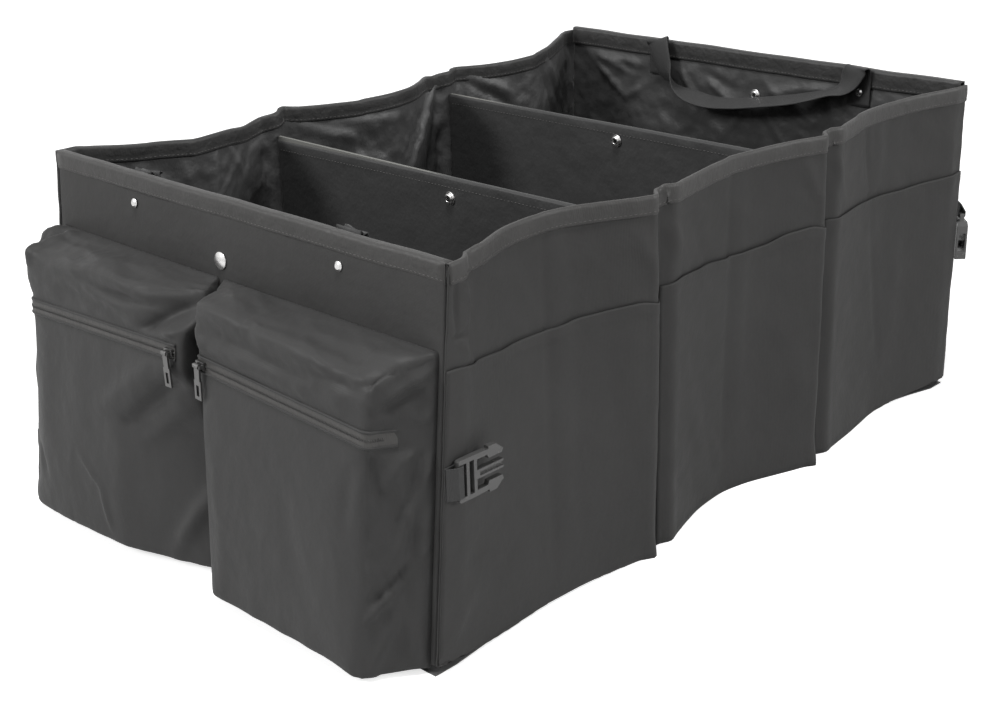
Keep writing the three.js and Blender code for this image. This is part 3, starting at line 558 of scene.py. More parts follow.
def along_line(points, x):
    """The height of a line of points at one place, eased between them."""
    if x <= points[0][0]:
        return points[0][1]
    for (ax, az), (bx, bz) in zip(points, points[1:]):
        if x <= bx:
            share = (x - ax) / (bx - ax)
            share = share * share * (3 - 2 * share)
            return az + (bz - az) * share
    return points[-1][1]


wall_now = surface(right_wall)


def on_wall(x, z):
    for rise in range(24):
        height = z + rise * look_step
        hit = wall_now.ray_cast(Vector((x, -look_from, height)), Vector((0, 1, 0)))[0]
        if hit:
            return Vector((x, hit.y, height))
    return Vector((x, -half_width, z))


def patch_shape(start, end, hem):
    """A patch from start to end along the wall; without a start it begins at the leaning corner."""
    count = patch_rows + hem_rows

    def across(z, u):
        first = leaned(-rim_half_length, z) + corner_inset if start is None else start
        return first + (end - first) * u

    def place(u, v):
        row = round(v * count)
        top = along_line(hem, across(0.1, u) / MM) * MM
        if row <= patch_rows:
            z = (top - hem_depth) * row / patch_rows
        else:
            z = top - hem_depth * (1 - (row - patch_rows) / hem_rows)
        spot = on_wall(across(z, u), max(z, sewn_gap))
        slack = math.sin(math.pi * u) ** 0.7 * max(0, (z - 0.55 * top) / (0.45 * top)) ** 2
        fold = hem_fold if z > top - hem_depth + 0.5 * MM else 0.0
        return spot - Vector((0, pocket_cloth + sewn_gap + pocket_slack * slack + fold, 0))

    return cloth_grid(patch_columns, count, place, (0, -1, 0))


for name, patch_start, patch_end, hem in patches:
    shape = patch_shape(patch_start, patch_end, hem)
    patch = finished(name + "_cloth", shape, outer_cloth)
    thicken(patch, pocket_cloth)
    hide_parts(name)
    low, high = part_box(name)

# The long left wall is the same strip, seen from inside on its coated face. It folds inward more,
# sags between the dividers, and its lining is crushed into bright creases.
left_in_cad = surface(sources["left_side_wall"])
left_rim = []
for place in columns:
    x = min(max(place, -rim_half_length + sewn_gap), rim_half_length - sewn_gap)
    top = rim_height
    while top > 0.28 and not left_in_cad.ray_cast(Vector((x, look_from, top)), Vector((0, -1, 0)))[0]:
        top -= 0.25 * MM
    unevenness = 1.5 * bell(x, -250, 30) - 5.5 * bell(x, -150, 24) + 2 * bell(x, 20, 50)
    unevenness += 2 * bell(x, 240, 60) - 2.5 * bell(x, 97, 10) + 1.5 * bell(x, -108, 8)
    left_rim.append(min(top + unevenness * MM, rim_height + 1.5 * MM))
left_rows = wall_grid(left_in_cad, 1, left_rim)
left_wall = wall_piece("left_wall", left_rows, 1)
left_rim_points = list(zip(columns, left_rim))


def left_top(x):
    return along_line(left_rim_points, x)


relax(left_wall, wall_pins(left_top, 1.6 * binding_depth, 7 * MM), 0.012, 6 * MM)
subdivided(left_wall)
left_creases = [
    ((-207, 296), (-214, 200), 3.5, -3.0),
    ((-222, 292), (-232, 180), 7, 2.2),
    ((-192, 292), (-164, 250), 4, -3.0),
    ((-330, 290), (-262, 262), 5, -3.0),
    ((-160, 286), (-214, 236), 4, -2.6),
    ((-150, 280), (-200, 214), 4, 2.6),
    ((100, 290), (34, 222), 4, -5.5),
    ((92, 292), (20, 236), 3.5, 4.0),
    ((104, 284), (72, 180), 5, 3.0),
    ((-100, 290), (-30, 262), 4, -2.6),
    ((-60, 286), (20, 280), 4, -2.2),
    ((-60, 250), (0, 190), 7, 2.4),
    ((259, 294), (312, 232), 4, -4.0),
    ((240, 294), (286, 220), 4, 3.2),
    ((140, 296), (200, 268), 4, -2.8),
    ((150, 284), (210, 246), 4, 2.8),
    ((130, 280), (180, 210), 5, -2.4),
]


def crush_lining(piece, amount, size, seed, top_of):
    """Crushes the lining between the rim's tape and the floor, and leaves the seams flat."""
    for v in piece.data.vertices:
        x, z = v.co.x, v.co.z
        below = min(max((top_of(x) - z - binding_depth) / (14 * MM), 0), 1)
        beside = min(min(abs(x - d) for d in bay_ends) / (16 * MM), 1)
        v.co.y -= amount * below * beside * crumple(x + 0.45 * z, 0.6 * z - 0.3 * x, size, seed)
    piece.data.update()


add_creases(left_wall, left_creases, 0, 2, (0, 1, 0))
crush_lining(left_wall, 5.6 * MM, 30 * MM, 4.0, left_top)
thick_wall(left_wall)
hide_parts("left_side_wall")


# A folded tape binds the rim. It is a strip of ribbed tape, folded over the edge of the cloth or of
# the stiff panel and sewn through with one row of stitches near its lower edge.
def tape_finish(name, level, warm, rib):
    finish = Finish(name, Specular_IOR_Level=0.5, Sheen_Weight=0.08, Sheen_Roughness=0.35)
    vector = finish.place()
    x, y, z = finish.axes(vector)
    ribs = ((x + y) * (math.tau / rib)).sine()
    worn = finish.noise(vector, 30, 4, 0.6)
    color = finish.tint(worn, grey(level * 0.86, warm), grey(level * 1.14, warm))
    fibres = ribs + finish.noise(vector, 900, 2) * 0.6
    normal = finish.bump(fibres, 0.03 * MM, 0.6, finish.bump(worn, 2.5 * MM))
    rough = 0.5 + 0.2 * (finish.noise(vector, 120, 2) - 0.5)
    return finish.set(Base_Color=color, Roughness=rough, Normal=normal).material


binding_tape = tape_finish("binding_tape", 57, 0.035, 1.0 * MM)
# A darker, less warm copy of the binding tape, for the left and rear rims seen from inside: painted shade.
painted_shade_tape = tape_finish("painted_shade_tape", 54, 0.01, 1.0 * MM)


def swept(stations, profile):
    """Carries a closed profile along a row of stations, each with its place and two directions."""
    shape = bmesh.new()
    origin, side, lift = stations[0]
    first = [shape.verts.new(origin + side * a + lift * b) for a, b in profile]
    ring = [shape.edges.new((a, b)) for a, b in zip(first, first[1:] + first[:1])]
    corners = first
    shape.faces.new(first)
    for origin, side, lift in stations[1:]:
        made = bmesh.ops.extrude_edge_only(shape, edges=ring)["geom"]
        fresh = [g for g in made if isinstance(g, bmesh.types.BMVert)]
        ring = [g for g in made if isinstance(g, bmesh.types.BMEdge) and all(v in fresh for v in g.verts)]
        next_of = {}
        for edge in (e for v in fresh for e in v.link_edges):
            a, b = edge.verts
            if (a in fresh) != (b in fresh):
                new, old = (a, b) if a in fresh else (b, a)
                next_of[old] = new
        corners = [next_of[c] for c in corners]
        for corner, (a, b) in zip(corners, profile):
            corner.co = origin + side * a + lift * b
    shape.faces.new(corners)
    bmesh.ops.recalc_face_normals(shape, faces=shape.faces)
    return shape


tape_thickness = 1.0 * MM


def binding_profile(edge, depth):
    """The section of the folded tape: across from the edge's outer face, and up from its top."""
    inside, outside = sewn_gap, sewn_gap + tape_thickness
    crown = [
        (-outside * 0.75, outside * 0.72), (edge * 0.25 - outside * 0.2, outside * 1.05),
        (edge * 0.75 + outside * 0.2, outside * 1.05), (edge + outside * 0.75, outside * 0.72),
    ]
    return [
        (-inside, -depth), (-inside, inside * 0.8), (edge + inside, inside * 0.8), (edge + inside, -depth),
        (edge + outside * 0.8, -depth - 0.3 * MM), (edge + outside * 1.15, -depth + 1.2 * MM),
        (edge + outside * 0.9, -depth + 2.6 * MM), (edge + outside * 1.25, -depth + 6 * MM),
        (edge + outside, -2 * MM), *reversed(crown), (-outside, -2 * MM),
        (-outside * 1.25, -depth + 6 * MM), (-outside * 0.9, -depth + 2.6 * MM),
        (-outside * 1.15, -depth + 1.2 * MM), (-outside * 0.8, -depth - 0.3 * MM),
    ]


def rim_stations(points, side_of):
    """Stations along a rim, each looking across the rim and up."""
    stations = []
    for i, point in enumerate(points):
        before, after = points[max(i - 1, 0)], points[min(i + 1, len(points) - 1)]
        along = (after - before).normalized()
        across = Vector((0, 0, 1)).cross(along).normalized() * side_of
        stations.append((point, across, along.cross(across).normalized() * side_of))
    return stations


def wavy(points, amount, seed):
    """Small unevenness of a sewn edge."""
    shift = Vector((seed, 0, 0))
    return [p + Vector((0, 0, amount * noise.noise(p * 22 + shift))) for p in points]


def kinked(points, kinks):
    """Small steps of the tape, each with its place along the rim and its height in mm, that fade
    towards the far end."""
    bent = []
    for p in points:
        rise = 0
        for place, height in kinks:
            beyond = p.x / MM - place
            rise += height * (math.exp(-beyond / 45) if beyond > 0 else math.exp(beyond / 1.6))
        bent.append(p + Vector((0, math.copysign(0.4 * rise * MM, p.y), rise * MM)))
    return bent


right_kinks = [(-312, 1.8), (-223, 0.8), (-112, 2.4), (-12, 1.6), (121, 1.6), (178, 1.8)]
right_edge = kinked(right_rows[-1], right_kinks)
left_edge = kinked(left_rows[-1], [(-112, 1.6), (-30, 0.8), (121, 2.0), (236, 1.0)])
stitch_thread = Finish("sewing_thread", Roughness=0.6, Base_Color=(*grey(92, 0.03), 1))


def stamped(mesh, places):
    """Copies one small mesh to many places, as one shape."""
    shape = bmesh.new()
    for _ in places:
        shape.from_mesh(mesh)
    shape.verts.ensure_lookup_table()
    count = len(mesh.vertices)
    for i, place in enumerate(places):
        for corner in shape.verts[i * count:(i + 1) * count]:
            corner.co = place @ corner.co
    return shape


def bead(segments, rings):
    """A small round ball of few faces."""
    shape = bmesh.new()
    bmesh.ops.create_uvsphere(shape, u_segments=segments, v_segments=rings, radius=1)
    mesh = bpy.data.meshes.new("bead")
    shape.to_mesh(mesh)
    shape.free()
    return mesh


stitch_bead = bead(6, 4)
stitch_pitch, stitch_length, stitch_width = 4.2 * MM, 2.9 * MM, 0.55 * MM


def spaced(points, pitch, first):
    """Places at a pitch along a line of points, each with the way along it and its segment's number."""
    travelled, due = 0.0, first
    for number, (a, b) in enumerate(zip(points, points[1:])):
        step = (b - a).length
        while step > 0 and due <= travelled + step:
            yield a.lerp(b, (due - travelled) / step), (b - a).normalized(), number
            due += pitch
        travelled += step


def stitch_row(name, points, normals):
    """A row of thread stitches that lie on a surface along a line of points."""
    places = []
    size = Matrix.Diagonal((stitch_length / 2, stitch_width / 2, stitch_width * 0.45, 1))
    for at, along, number in spaced(points, stitch_pitch, stitch_pitch / 2):
        across = normals[number].cross(along).normalized()
        turn = Matrix((along, across, along.cross(across))).transposed().to_4x4()
        places.append(Matrix.Translation(at) @ turn @ size)
    finished(name, stamped(stitch_bead, places), stitch_thread.material)


def bind(name, node, edge_points, edge, side_of, rise=0.0, tape=binding_tape):
    stations = rim_stations([p + Vector((0, 0, rise)) for p in edge_points], side_of)
    depth = binding_depth + rise
    piece = finished(name, swept(stations, binding_profile(edge, depth)), tape)
    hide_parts(node)
    stitch_level = -depth + 2.4 * MM
    for label, offset, turn in (("outer", -1.35 * MM, -1), ("inner", edge + 1.35 * MM, 1)):
        line = [p + s * offset + l * stitch_level for p, s, l in stations]
        stitch_row(f"{name}_{label}_stitches", line, [s * turn for _, s, _ in stations])


bind("right_rim_tape", "rim_binding_right", wavy(right_edge, 0.8 * MM, 3), cloth_thickness, 1)
# The left rim's tape takes the darker copy of the tape, as painted shade.
bind("left_rim_tape", "rim_binding_left", wavy(left_edge, 1.2 * MM, 8), cloth_thickness, -1, 0.0, painted_shade_tape)

# The end panels are stiff boards in sewn sleeves. The front one leans out towards its foot, and its
# outer face carries the zipped pockets, the snap and the rivets of the handle.
panel_half = 3.0 * MM
tilt = math.atan2(front_lean, rim_height)
end_x = rim_half_length - panel_half
front_end = Matrix.Translation((-end_x, 0, rim_height)) @ Matrix.Rotation(tilt, 4, "Y")
rear_end = Matrix.Translation((end_x, 0, rim_height)) @ Matrix.Rotation(math.pi, 4, "Z")


def local_box(node, frame_of):
    """A CAD node's box in the frame of the end that it belongs to."""
    back_to = frame_of.inverted()
    points = [back_to @ v.co for v in sources[node].data.vertices]
    return [Vector(map(f, *points)) for f in (min, max)]


def subdivide_along(shape, axis, pitch):
    """Cuts the long edges that run along one axis into lengths of about one pitch."""
    edges = [
        e for e in shape.edges
        if e.calc_length() > 2 * pitch and abs((e.verts[1].co - e.verts[0].co).normalized()[axis]) > 0.9]
    if edges:
        cuts = round(max(e.calc_length() for e in edges) / pitch) - 1
        bmesh.ops.subdivide_edges(shape, edges=edges, cuts=cuts, use_grid_fill=True)


def sleeve(low, high, cell, edge_round, wave):
    """A soft-edged slab of cloth over a board, with a faint unevenness over its faces."""
    shape = bmesh.new()
    bmesh.ops.create_cube(shape, size=1)
    middle, size = (low + high) / 2, high - low
    for corner in shape.verts:
        corner.co = Vector(a * b for a, b in zip(corner.co, size)) + middle
    bmesh.ops.bevel(
        shape, geom=shape.edges[:], offset=edge_round, segments=3, profile=0.5, affect="EDGES", material=-1)
    for axis in (1, 2):
        subdivide_along(shape, axis, cell)
    for corner in shape.verts:
        corner.co += Vector((1, 0, 0)) * wave * noise.noise(corner.co * 14)
    return shape


fittings = [Vector(spot) * MM for spot in ((-128, -20), (128, -20), (0, -38))]


def sleeve_piece(name, node, frame_of, creases=(), wave=0.5 * MM, cell=7 * MM, material=outer_cloth):
    """A panel's sleeve, with the creases of its inner face, which lie flat round the metal fittings."""
    low, high = local_box(node, frame_of)
    shape = sleeve(low, high, cell, 2.4 * MM, wave)
    for corner in shape.verts:
        if corner.co.x > 0 and creases:
            y, z = corner.co.y, corner.co.z
            fitting = min([1] + [(Vector((y, z)) - spot).length / (20 * MM) for spot in fittings])
            below_tape = min(max((-z - 15 * MM) / (10 * MM), 0), 1)
            crushed = 3.0 * MM * (crumple(y + 0.5 * z, z - 0.5 * y, 30 * MM, 6.0) + 0.3)
            corner.co.x += max(creased(y, z, creases) + crushed, 0) * fitting * below_tape
    bmesh.ops.transform(shape, matrix=frame_of, verts=shape.verts)
    piece = finished(name, shape, material)
    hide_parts(node)
    return piece


front_panel = sleeve_piece("front_panel", "front_panel_cover", front_end)
board_low, board_high = local_box("front_panel_board", front_end)
board_low.z += 10 * MM
board_shape = sleeve(board_low, board_high, 60 * MM, 0.4 * MM, 0)
bmesh.ops.transform(board_shape, matrix=front_end, verts=board_shape.verts)
board_finish = Finish("stiff_board", Roughness=0.8, Base_Color=(0.2, 0.2, 0.19, 1))
front_board = finished("front_board", board_shape, board_finish.material)
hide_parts("front_panel_board")
for v in front_panel.data.vertices:
    v.co.z += 6 * MM * math.exp(v.co.z / (-14 * MM)) * bell(v.co.y, -236, 22)

# Crushed lining on the far panel's inner face, in the far end's own frame: its Y runs to the right
far_creases = [
    ((-232, -16), (-166, -40), 4, 3.0),
    ((-222, -30), (-178, -66), 3.5, 3.0),
    ((-178, -66), (-150, -50), 3.5, 2.4),
    ((-216, -22), (-150, -26), 4, 2.0),
    ((-100, -26), (-64, -70), 4, 3.2),
    ((-64, -30), (-16, -62), 4, 3.4),
    ((-74, -22), (-20, -40), 3.5, -2.0),
    ((-8, -50), (-40, -92), 4, 2.6),
    ((8, -52), (44, -96), 4, 2.4),
    ((20, -34), (90, -20), 4, 2.4),
    ((14, -28), (74, -58), 4, 2.6),
    ((90, -30), (112, -80), 5, 2.2),
    ((150, -30), (216, -46), 5, 2.4),
    ((-130, -80), (-60, -130), 9, 2.4),
    ((100, -80), (190, -130), 9, 2.4),
]
# The far panel's inner face is the same coated lining in a darker tone (74 against 88), which is painted
# shade; its shine and roughness differ a little.
far_lining_painted_shade = cloth_finish("far_lining_painted_shade", 74, 0.0, 0.0, 0.46, 0.9 * MM, 2.6 * MM, 0.02 * MM, 0.32)
sleeve_piece("rear_panel", "rear_panel_cover", rear_end, far_creases, 0.3 * MM, 3.2 * MM, far_lining_painted_shade)
edge_steps = 60
rear_tape_rise = 3.4 * MM
# The rear rim's tape takes the darker copy of the tape, as painted shade.
for name, node, end, seed, rise, tape in (
    ("front_rim_tape", "rim_binding_front", front_end, 14, 0.0, binding_tape),
    ("rear_rim_tape", "rim_binding_rear", rear_end, 21, rear_tape_rise, painted_shade_tape),
):
    low, high = local_box(node, end)
    shares = [i / edge_steps for i in range(edge_steps + 1)]
    edge_line = [end @ Vector((-panel_half, low.y + (high.y - low.y) * share, 0)) for share in shares]
    bind(name, node, wavy(edge_line, 0.8 * MM, seed)[::-1], 2 * panel_half, 1, rise, tape)

# Two dividers of the same make stand across the bag, sewn to the side walls and to the floor. The
# top of each sleeve is a plain fold with a row of stitches below it.
divider_tone = cloth_finish("divider_cloth", 69, 0.0, 0.04, 0.46, 1.1 * MM, 2.6 * MM, 0.04 * MM)
divider_dips = {"divider_1_cover": 5 * MM, "divider_2_cover": 2 * MM}
seam_below_fold, seam_margin, seam_lift = 9 * MM, 3 * MM, 0.2 * MM
for number, (node, dip) in enumerate(divider_dips.items(), 1):
    low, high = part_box(node)
    shape = sleeve(low, high, 7 * MM, 2.6 * MM, 0.7 * MM)
    for corner in shape.verts:
        towards_left = (corner.co.y - low.y) / (high.y - low.y)
        corner.co.z -= dip * towards_left ** 2 * corner.co.z / high.z
    piece = finished(f"divider_{number}_sleeve", shape, divider_tone)
    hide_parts(node)
    for label, x, turn in (("front", low.x, -1), ("back", high.x, 1)):
        line = []
        for i in range(edge_steps + 1):
            share = i / edge_steps
            y = low.y + seam_margin + (high.y - low.y - 2 * seam_margin) * share
            z = high.z - seam_below_fold - dip * share ** 2
            line.append(Vector((x + turn * seam_lift, y, z)))
        stitch_row(f"divider_{number}_{label}_stitches", line, [Vector((turn, 0, 0))] * edge_steps)

# The floor is one layer of coated cloth, and a stiff cloth-covered board lies loose in each bay.
floor_node = sources["floor_cloth"]
floor_node.data.materials.clear()
floor_node.data.materials.append(lining_cloth)
for name in ("base_board_front", "base_board_middle", "base_board_rear"):
    low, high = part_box(name)
    shape = sleeve(low, high, 12 * MM, 1.6 * MM, 0)
    board = finished(name + "_covered", shape, lining_cloth)
    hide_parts(name)

# Each zipped pocket is a gusseted bag, sewn to the front panel along its back edges. Its front face
# is deepest below the zip, and the slack hood above the zip is crushed into folds.
pocket_depth = 47 * MM
pocket_back = -panel_half - sewn_gap
pocket_face = pocket_back - pocket_depth
seam_drop, foot_drop = 63 * MM, 308 * MM
inner_corner = 7 * MM
zip_drop, zip_fall = 115 * MM, math.radians(2.5)
slider_from_edge = 11.6 * MM
zip_return = 22 * MM
zip_half = 6.5 * MM
zip_margin = 5 * MM
zip_steps, bend_steps, tail_steps = 46, 8, 3
beside_zip = 11 * MM
meeting_y, between = 12 * MM, 5 * MM
pocket_cell = 5 * MM


def quadratic(a, b, c, t):
    return a.lerp(b, t).lerp(b.lerp(c, t), t)


class PocketShape:
    """The level outline of one pocket, in the front end's frame: from the back along the outer side,
    across the face and back along the inner side. sign is 1 for the left pocket. How far the face is
    inset, and how far its top is below the rim, is given for the outer and the inner side."""

    def __init__(self, node, sign, insets, drops, foot_taper, outer_corner):
        low, high = local_box(node, front_end)
        self.sign = sign
        self.foot_taper = foot_taper
        self.outer_drop, self.inner_drop = drops
        self.outer_y = high.y if sign > 0 else low.y
        self.inner_y = meeting_y + sign * between / 2
        outer_front = self.outer_y - sign * insets[0]
        inner_front = self.inner_y + sign * insets[1]
        self.middle = (outer_front + inner_front) / 2
        self.half = abs(outer_front - inner_front) / 2
        self.outer_front, self.inner_front = outer_front, inner_front
        self.outer = [
            Vector((pocket_back, self.outer_y)), Vector((pocket_face + outer_corner, outer_front))]
        self.outer_bend = (
            self.outer[1], Vector((pocket_face, outer_front)),
            Vector((pocket_face, outer_front - sign * outer_corner)))
        self.inner_bend = (
            Vector((pocket_face, inner_front + sign * inner_corner)), Vector((pocket_face, inner_front)),
            Vector((pocket_face + inner_corner, inner_front)))
        self.inner = [self.inner_bend[2], Vector((pocket_back, self.inner_y))]

    def outer_side(self, a):
        """Along the outer side, from the back at 0 to the middle of the corner at 1."""
        cut = 0.72
        if a < cut:
            return self.outer[0].lerp(self.outer[1], a / cut)
        return quadratic(*self.outer_bend, 0.5 * (a - cut) / (1 - cut))

    def inner_side(self, a):
        cut = 0.86
        if a < cut:
            return self.inner[1].lerp(self.inner[0], a / cut)
        return quadratic(*self.inner_bend, 1 - 0.5 * (a - cut) / (1 - cut))

    def front(self, b):
        """Across the face, from the middle of the outer corner at 0 to that of the inner one at 1."""
        first, last = 0.05, 0.975
        if b < first:
            return quadratic(*self.outer_bend, 0.5 + 0.5 * b / first)
        if b > last:
            return quadratic(*self.inner_bend, 0.5 * (b - last) / (1 - last))
        return self.outer_bend[2].lerp(self.inner_bend[0], (b - first) / (last - first))

    def level(self, a, b):
        sides = self.outer_side(a).lerp(self.inner_side(a), b)
        corners = self.outer_side(1).lerp(self.inner_side(1), b)
        return sides + (self.front(b) - corners) * a

    def point(self, a, b, c):
        """A point of the bag: a from back to face, b from outer to inner side, c from foot to top."""
        at = self.level(a, b)
        narrow = 1 - a * (1 - c) * self.foot_taper / self.half
        front_drop = self.outer_drop + (self.inner_drop - self.outer_drop) * b
        top = -(seam_drop + (front_drop - seam_drop) * a)
        z = -foot_drop + (foot_drop + top) * c
        return Vector((at.x, self.middle + (at.y - self.middle) * narrow, z))

    def zip_line(self):
        """Points along the zip, from its inner end round the outer corner to its outer end."""
        reach = self.inner_front + self.sign * zip_margin
        run = self.outer_bend[2].y - reach
        face = [Vector((pocket_face, reach + run * i / zip_steps)) for i in range(zip_steps + 1)]
        bend = [quadratic(*reversed(self.outer_bend), (i + 1) / bend_steps) for i in range(bend_steps)]
        back_x = pocket_face + zip_return
        share = (back_x - self.outer[1].x) / (self.outer[0].x - self.outer[1].x)
        tail = [self.outer[1].lerp(self.outer[0], share * (i + 1) / tail_steps) for i in range(tail_steps)]
        line = face + bend + tail
        above_foot = (foot_drop - zip_drop) / (foot_drop - self.outer_drop)
        narrow = 1 - (1 - above_foot) * self.foot_taper / self.half
        spread = [(p.x, self.middle + (p.y - self.middle) * narrow) for p in line]
        return [Vector((x, y, self.zip_level(y))) for x, y in spread]

    def zip_level(self, y):
        """The zip's height: it falls from its slider towards the outer side."""
        slider_y = self.inner_front + self.sign * slider_from_edge
        return -zip_drop - math.tan(zip_fall) * self.sign * (y - slider_y)


def bag_shape(outline):
    shape = bmesh.new()
    bmesh.ops.create_cube(shape, size=1)
    backs = [f for f in shape.faces if f.normal.x > 0.9]
    bmesh.ops.delete(shape, geom=backs, context="FACES_ONLY")
    for axis, length in enumerate((pocket_depth, outline.half * 2, foot_drop - seam_drop)):
        edges = [e for e in shape.edges if abs((e.verts[1].co - e.verts[0].co).normalized()[axis]) > 0.9]
        cuts = round(length / pocket_cell) - 1
        bmesh.ops.subdivide_edges(shape, edges=edges, cuts=cuts, use_grid_fill=True)
    for corner in shape.verts:
        a, b, c = 0.5 - corner.co.x, corner.co.y + 0.5, corner.co.z + 0.5
        corner.co = outline.point(a, b, c)
    slack = [
        v for v in shape.verts
        if v.co.x < pocket_back - 1 * MM and abs(v.co.z - outline.zip_level(v.co.y)) > beside_zip]
    for _ in range(2):
        bmesh.ops.smooth_vert(
            shape, verts=slack, factor=0.5, use_axis_x=True, use_axis_y=True, use_axis_z=True)
    bmesh.ops.recalc_face_normals(shape, faces=shape.faces)
    shape.normal_update()
    front_face = min(shape.faces, key=lambda f: f.calc_center_median().x)
    if front_face.normal.x > 0:
        bmesh.ops.reverse_faces(shape, faces=shape.faces)
    return shape


def pocket_pins(outline):
    def pins(point):
        if point.x > pocket_back - 2 * MM:
            return 1.0
        if abs(point.z - outline.zip_level(point.y)) < 9 * MM:
            beyond = (point.y - outline.inner_front) * outline.sign
            if beyond > 0 and point.x < pocket_face + zip_return:
                return 1.0
        if point.z < -foot_drop + 4 * MM:
            return 0.6
        return 0.0
    return pins


def pocket_looseness(point):
    """The hood above the zip is the slackest cloth, and the foot is nearly taut."""
    if point.z > -zip_drop:
        return 1.0
    return 0.35


def pocket_cap(point):
    below_zip = -zip_drop - point.z
    if point.x < pocket_face + 3 * MM and -8 * MM < below_zip < 34 * MM:
        return 1.4 * MM
    return 7 * MM


# Folds of the pockets, each with its two ends, half width and height. Those of the face are placed
# by (across, up), and those of the outer side by (depth, up).
face_creases = {
    "left": [
        ((10, -136), (80, -192), 6, -6.5),
        ((4, -154), (66, -206), 7, 3.0),
        ((34, -128), (112, -186), 9, 2.6),
        ((146, -236), (112, -262), 3, 1.8),
        ((116, -258), (106, -296), 3, 2.0),
        ((2, -232), (40, -300), 7, 5.0),
        ((200, -140), (196, -250), 12, 1.6),
        ((214, -246), (198, -272), 5, -2.4),
        ((150, -140), (140, -220), 16, 1.2),
    ],
    "right": [
        ((-30, -150), (-50, -280), 9, 1.0),
        ((-196, -150), (-190, -200), 6, -1.4),
        ((-120, -190), (-150, -280), 14, -1.0),
    ],
}
side_creases = {
    "left": [((-12, -140), (-40, -200), 6, 2.0), ((-10, -220), (-44, -280), 6, 2.4)],
    "right": [
        ((-6, -74), (-40, -96), 4, 3.6),
        ((-10, -84), (-44, -104), 4, -4.0),
        ((-5, -100), (-36, -158), 4.5, 4.4),
        ((-9, -118), (-26, -184), 3.5, -4.2),
        ((-6, -138), (-31, -222), 4.5, 4.2),
        ((-13, -156), (-18, -208), 3.5, -4.4),
        ((-7, -206), (-47, -268), 2.4, 3.6),
        ((-16, -218), (-46, -254), 4, -3.0),
        ((-26, -260), (-40, -305), 4, 3.4),
        ((-15, -240), (-12, -302), 4, 3.0),
        ((-36, -130), (-44, -200), 5, -1.4),
    ],
}
hood_creases = {
    "left": [
        ((208, -60), (214, -90), 4, 4.5),
        ((217, -60), (223, -90), 4, -7.0),
        ((228, -60), (234, -84), 4, 5.0),
        ((200, -84), (120, -74), 5, 3.4),
        ((150, -68), (60, -78), 6, 3.8),
        ((120, -86), (40, -84), 4, -3.2),
        ((12, -82), (58, -110), 5, -6.5),
        ((4, -94), (40, -114), 4, 4.0),
        ((8, -66), (50, -72), 4, -4.0),
        ((96, -100), (180, -96), 6, -2.0),
        ((60, -96), (130, -88), 4, 2.6),
    ],
    "right": [
        ((-2, -64), (-14, -84), 4, -5.0),
        ((-20, -64), (-76, -74), 6, 4.6),
        ((-80, -72), (-180, -80), 6, 4.6),
        ((-50, -86), (-150, -94), 5, -3.4),
        ((-150, -86), (-212, -90), 5, -3.0),
        ((-190, -74), (-232, -66), 5, 5.0),
        ((-204, -84), (-234, -76), 4, -5.5),
        ((-30, -98), (-110, -102), 5, 2.2),
        ((-16, -84), (-30, -104), 5, 3.4),
    ],
}
pocket_outlines = {
    "right": PocketShape("right_pocket_bag", -1, (17 * MM, 24 * MM), (84 * MM, 67 * MM), 13 * MM, 9 * MM),
    "left": PocketShape("left_pocket_bag", 1, (14 * MM, -11 * MM), (79 * MM, 67 * MM), 2 * MM, 14 * MM),
}
hood_crush, side_crush, face_crush = 3.4 * MM, 5.0 * MM, 0.8 * MM
hood_flare, hood_pull = Vector((0, 8, 4)) * MM, 24 * MM
sink_slope, sink_round = 0.36, 7 * MM
face_bulge, foot_flare, foot_sag = 5 * MM, 7 * MM, 5 * MM


def eased(share):
    share = min(max(share, 0), 1)
    return share * share * (3 - 2 * share)


def crushed_pocket(side, outline, point, normal):
    """The place of a point of the pocket once its slack cloth has crumpled and sunk. The left hood
    flares at its outer corner and is drawn back at its inner end, and the left face sinks in past a
    slanting bend. The right pocket sags at its outer foot."""
    x, y, z = point
    above_zip = z - outline.zip_level(y)
    out_share = min(max((pocket_back - x) / pocket_depth, 0), 1)
    held = eased((pocket_back - x) / (9 * MM)) * eased((abs(above_zip) - 8 * MM) / (7 * MM))
    on_side = abs(normal.y) > 0.7 and normal.y * outline.sign > 0
    to_outer = eased(1 - abs(y - outline.outer_front) / (36 * MM)) * out_share
    if above_zip > 0:
        slope = (pocket_back - x) + (-seam_drop - z)
        rise = creased(x, z, side_creases[side]) if on_side else creased(y, z, hood_creases[side])
        rise += hood_crush * crumple(0.5 * y + 0.3 * slope, slope, 30 * MM, 3.0 * outline.sign)
        moved = point + normal * rise * held
        if side == "left":
            moved += hood_flare * to_outer * eased((above_zip - 8 * MM) / (20 * MM))
            to_inner = eased(1 - (y - outline.inner_front) / (52 * MM))
            moved.x += hood_pull * to_inner * eased((above_zip - 8 * MM) / (30 * MM)) * out_share
        return moved
    rise = creased(x, z, side_creases[side]) if on_side else creased(y, z, face_creases[side])
    rise += (side_crush if on_side else face_crush) * crumple(x + 0.5 * z, y - 0.3 * x, 34 * MM, 5.0)
    moved = point + normal * rise * held
    if side == "left":
        past = min(30 * MM + 1.1 * (-134 * MM - z), 92 * MM) - y
        sunk = sink_slope * (past + math.hypot(past, sink_round)) / 2
        moved.x += sunk * out_share * eased((-z - 130 * MM) / (20 * MM))
        moved.x -= face_bulge * bell(y, 180, 60) * eased((-z - 150 * MM) / (120 * MM)) * out_share
        moved.y += foot_flare * to_outer * eased((-z - 276 * MM) / (24 * MM))
    else:
        near_corner = bell(y, outline.outer_y / MM + 18, 26) * out_share
        moved.z -= foot_sag * near_corner * eased((-z - 270 * MM) / (38 * MM))
    return moved


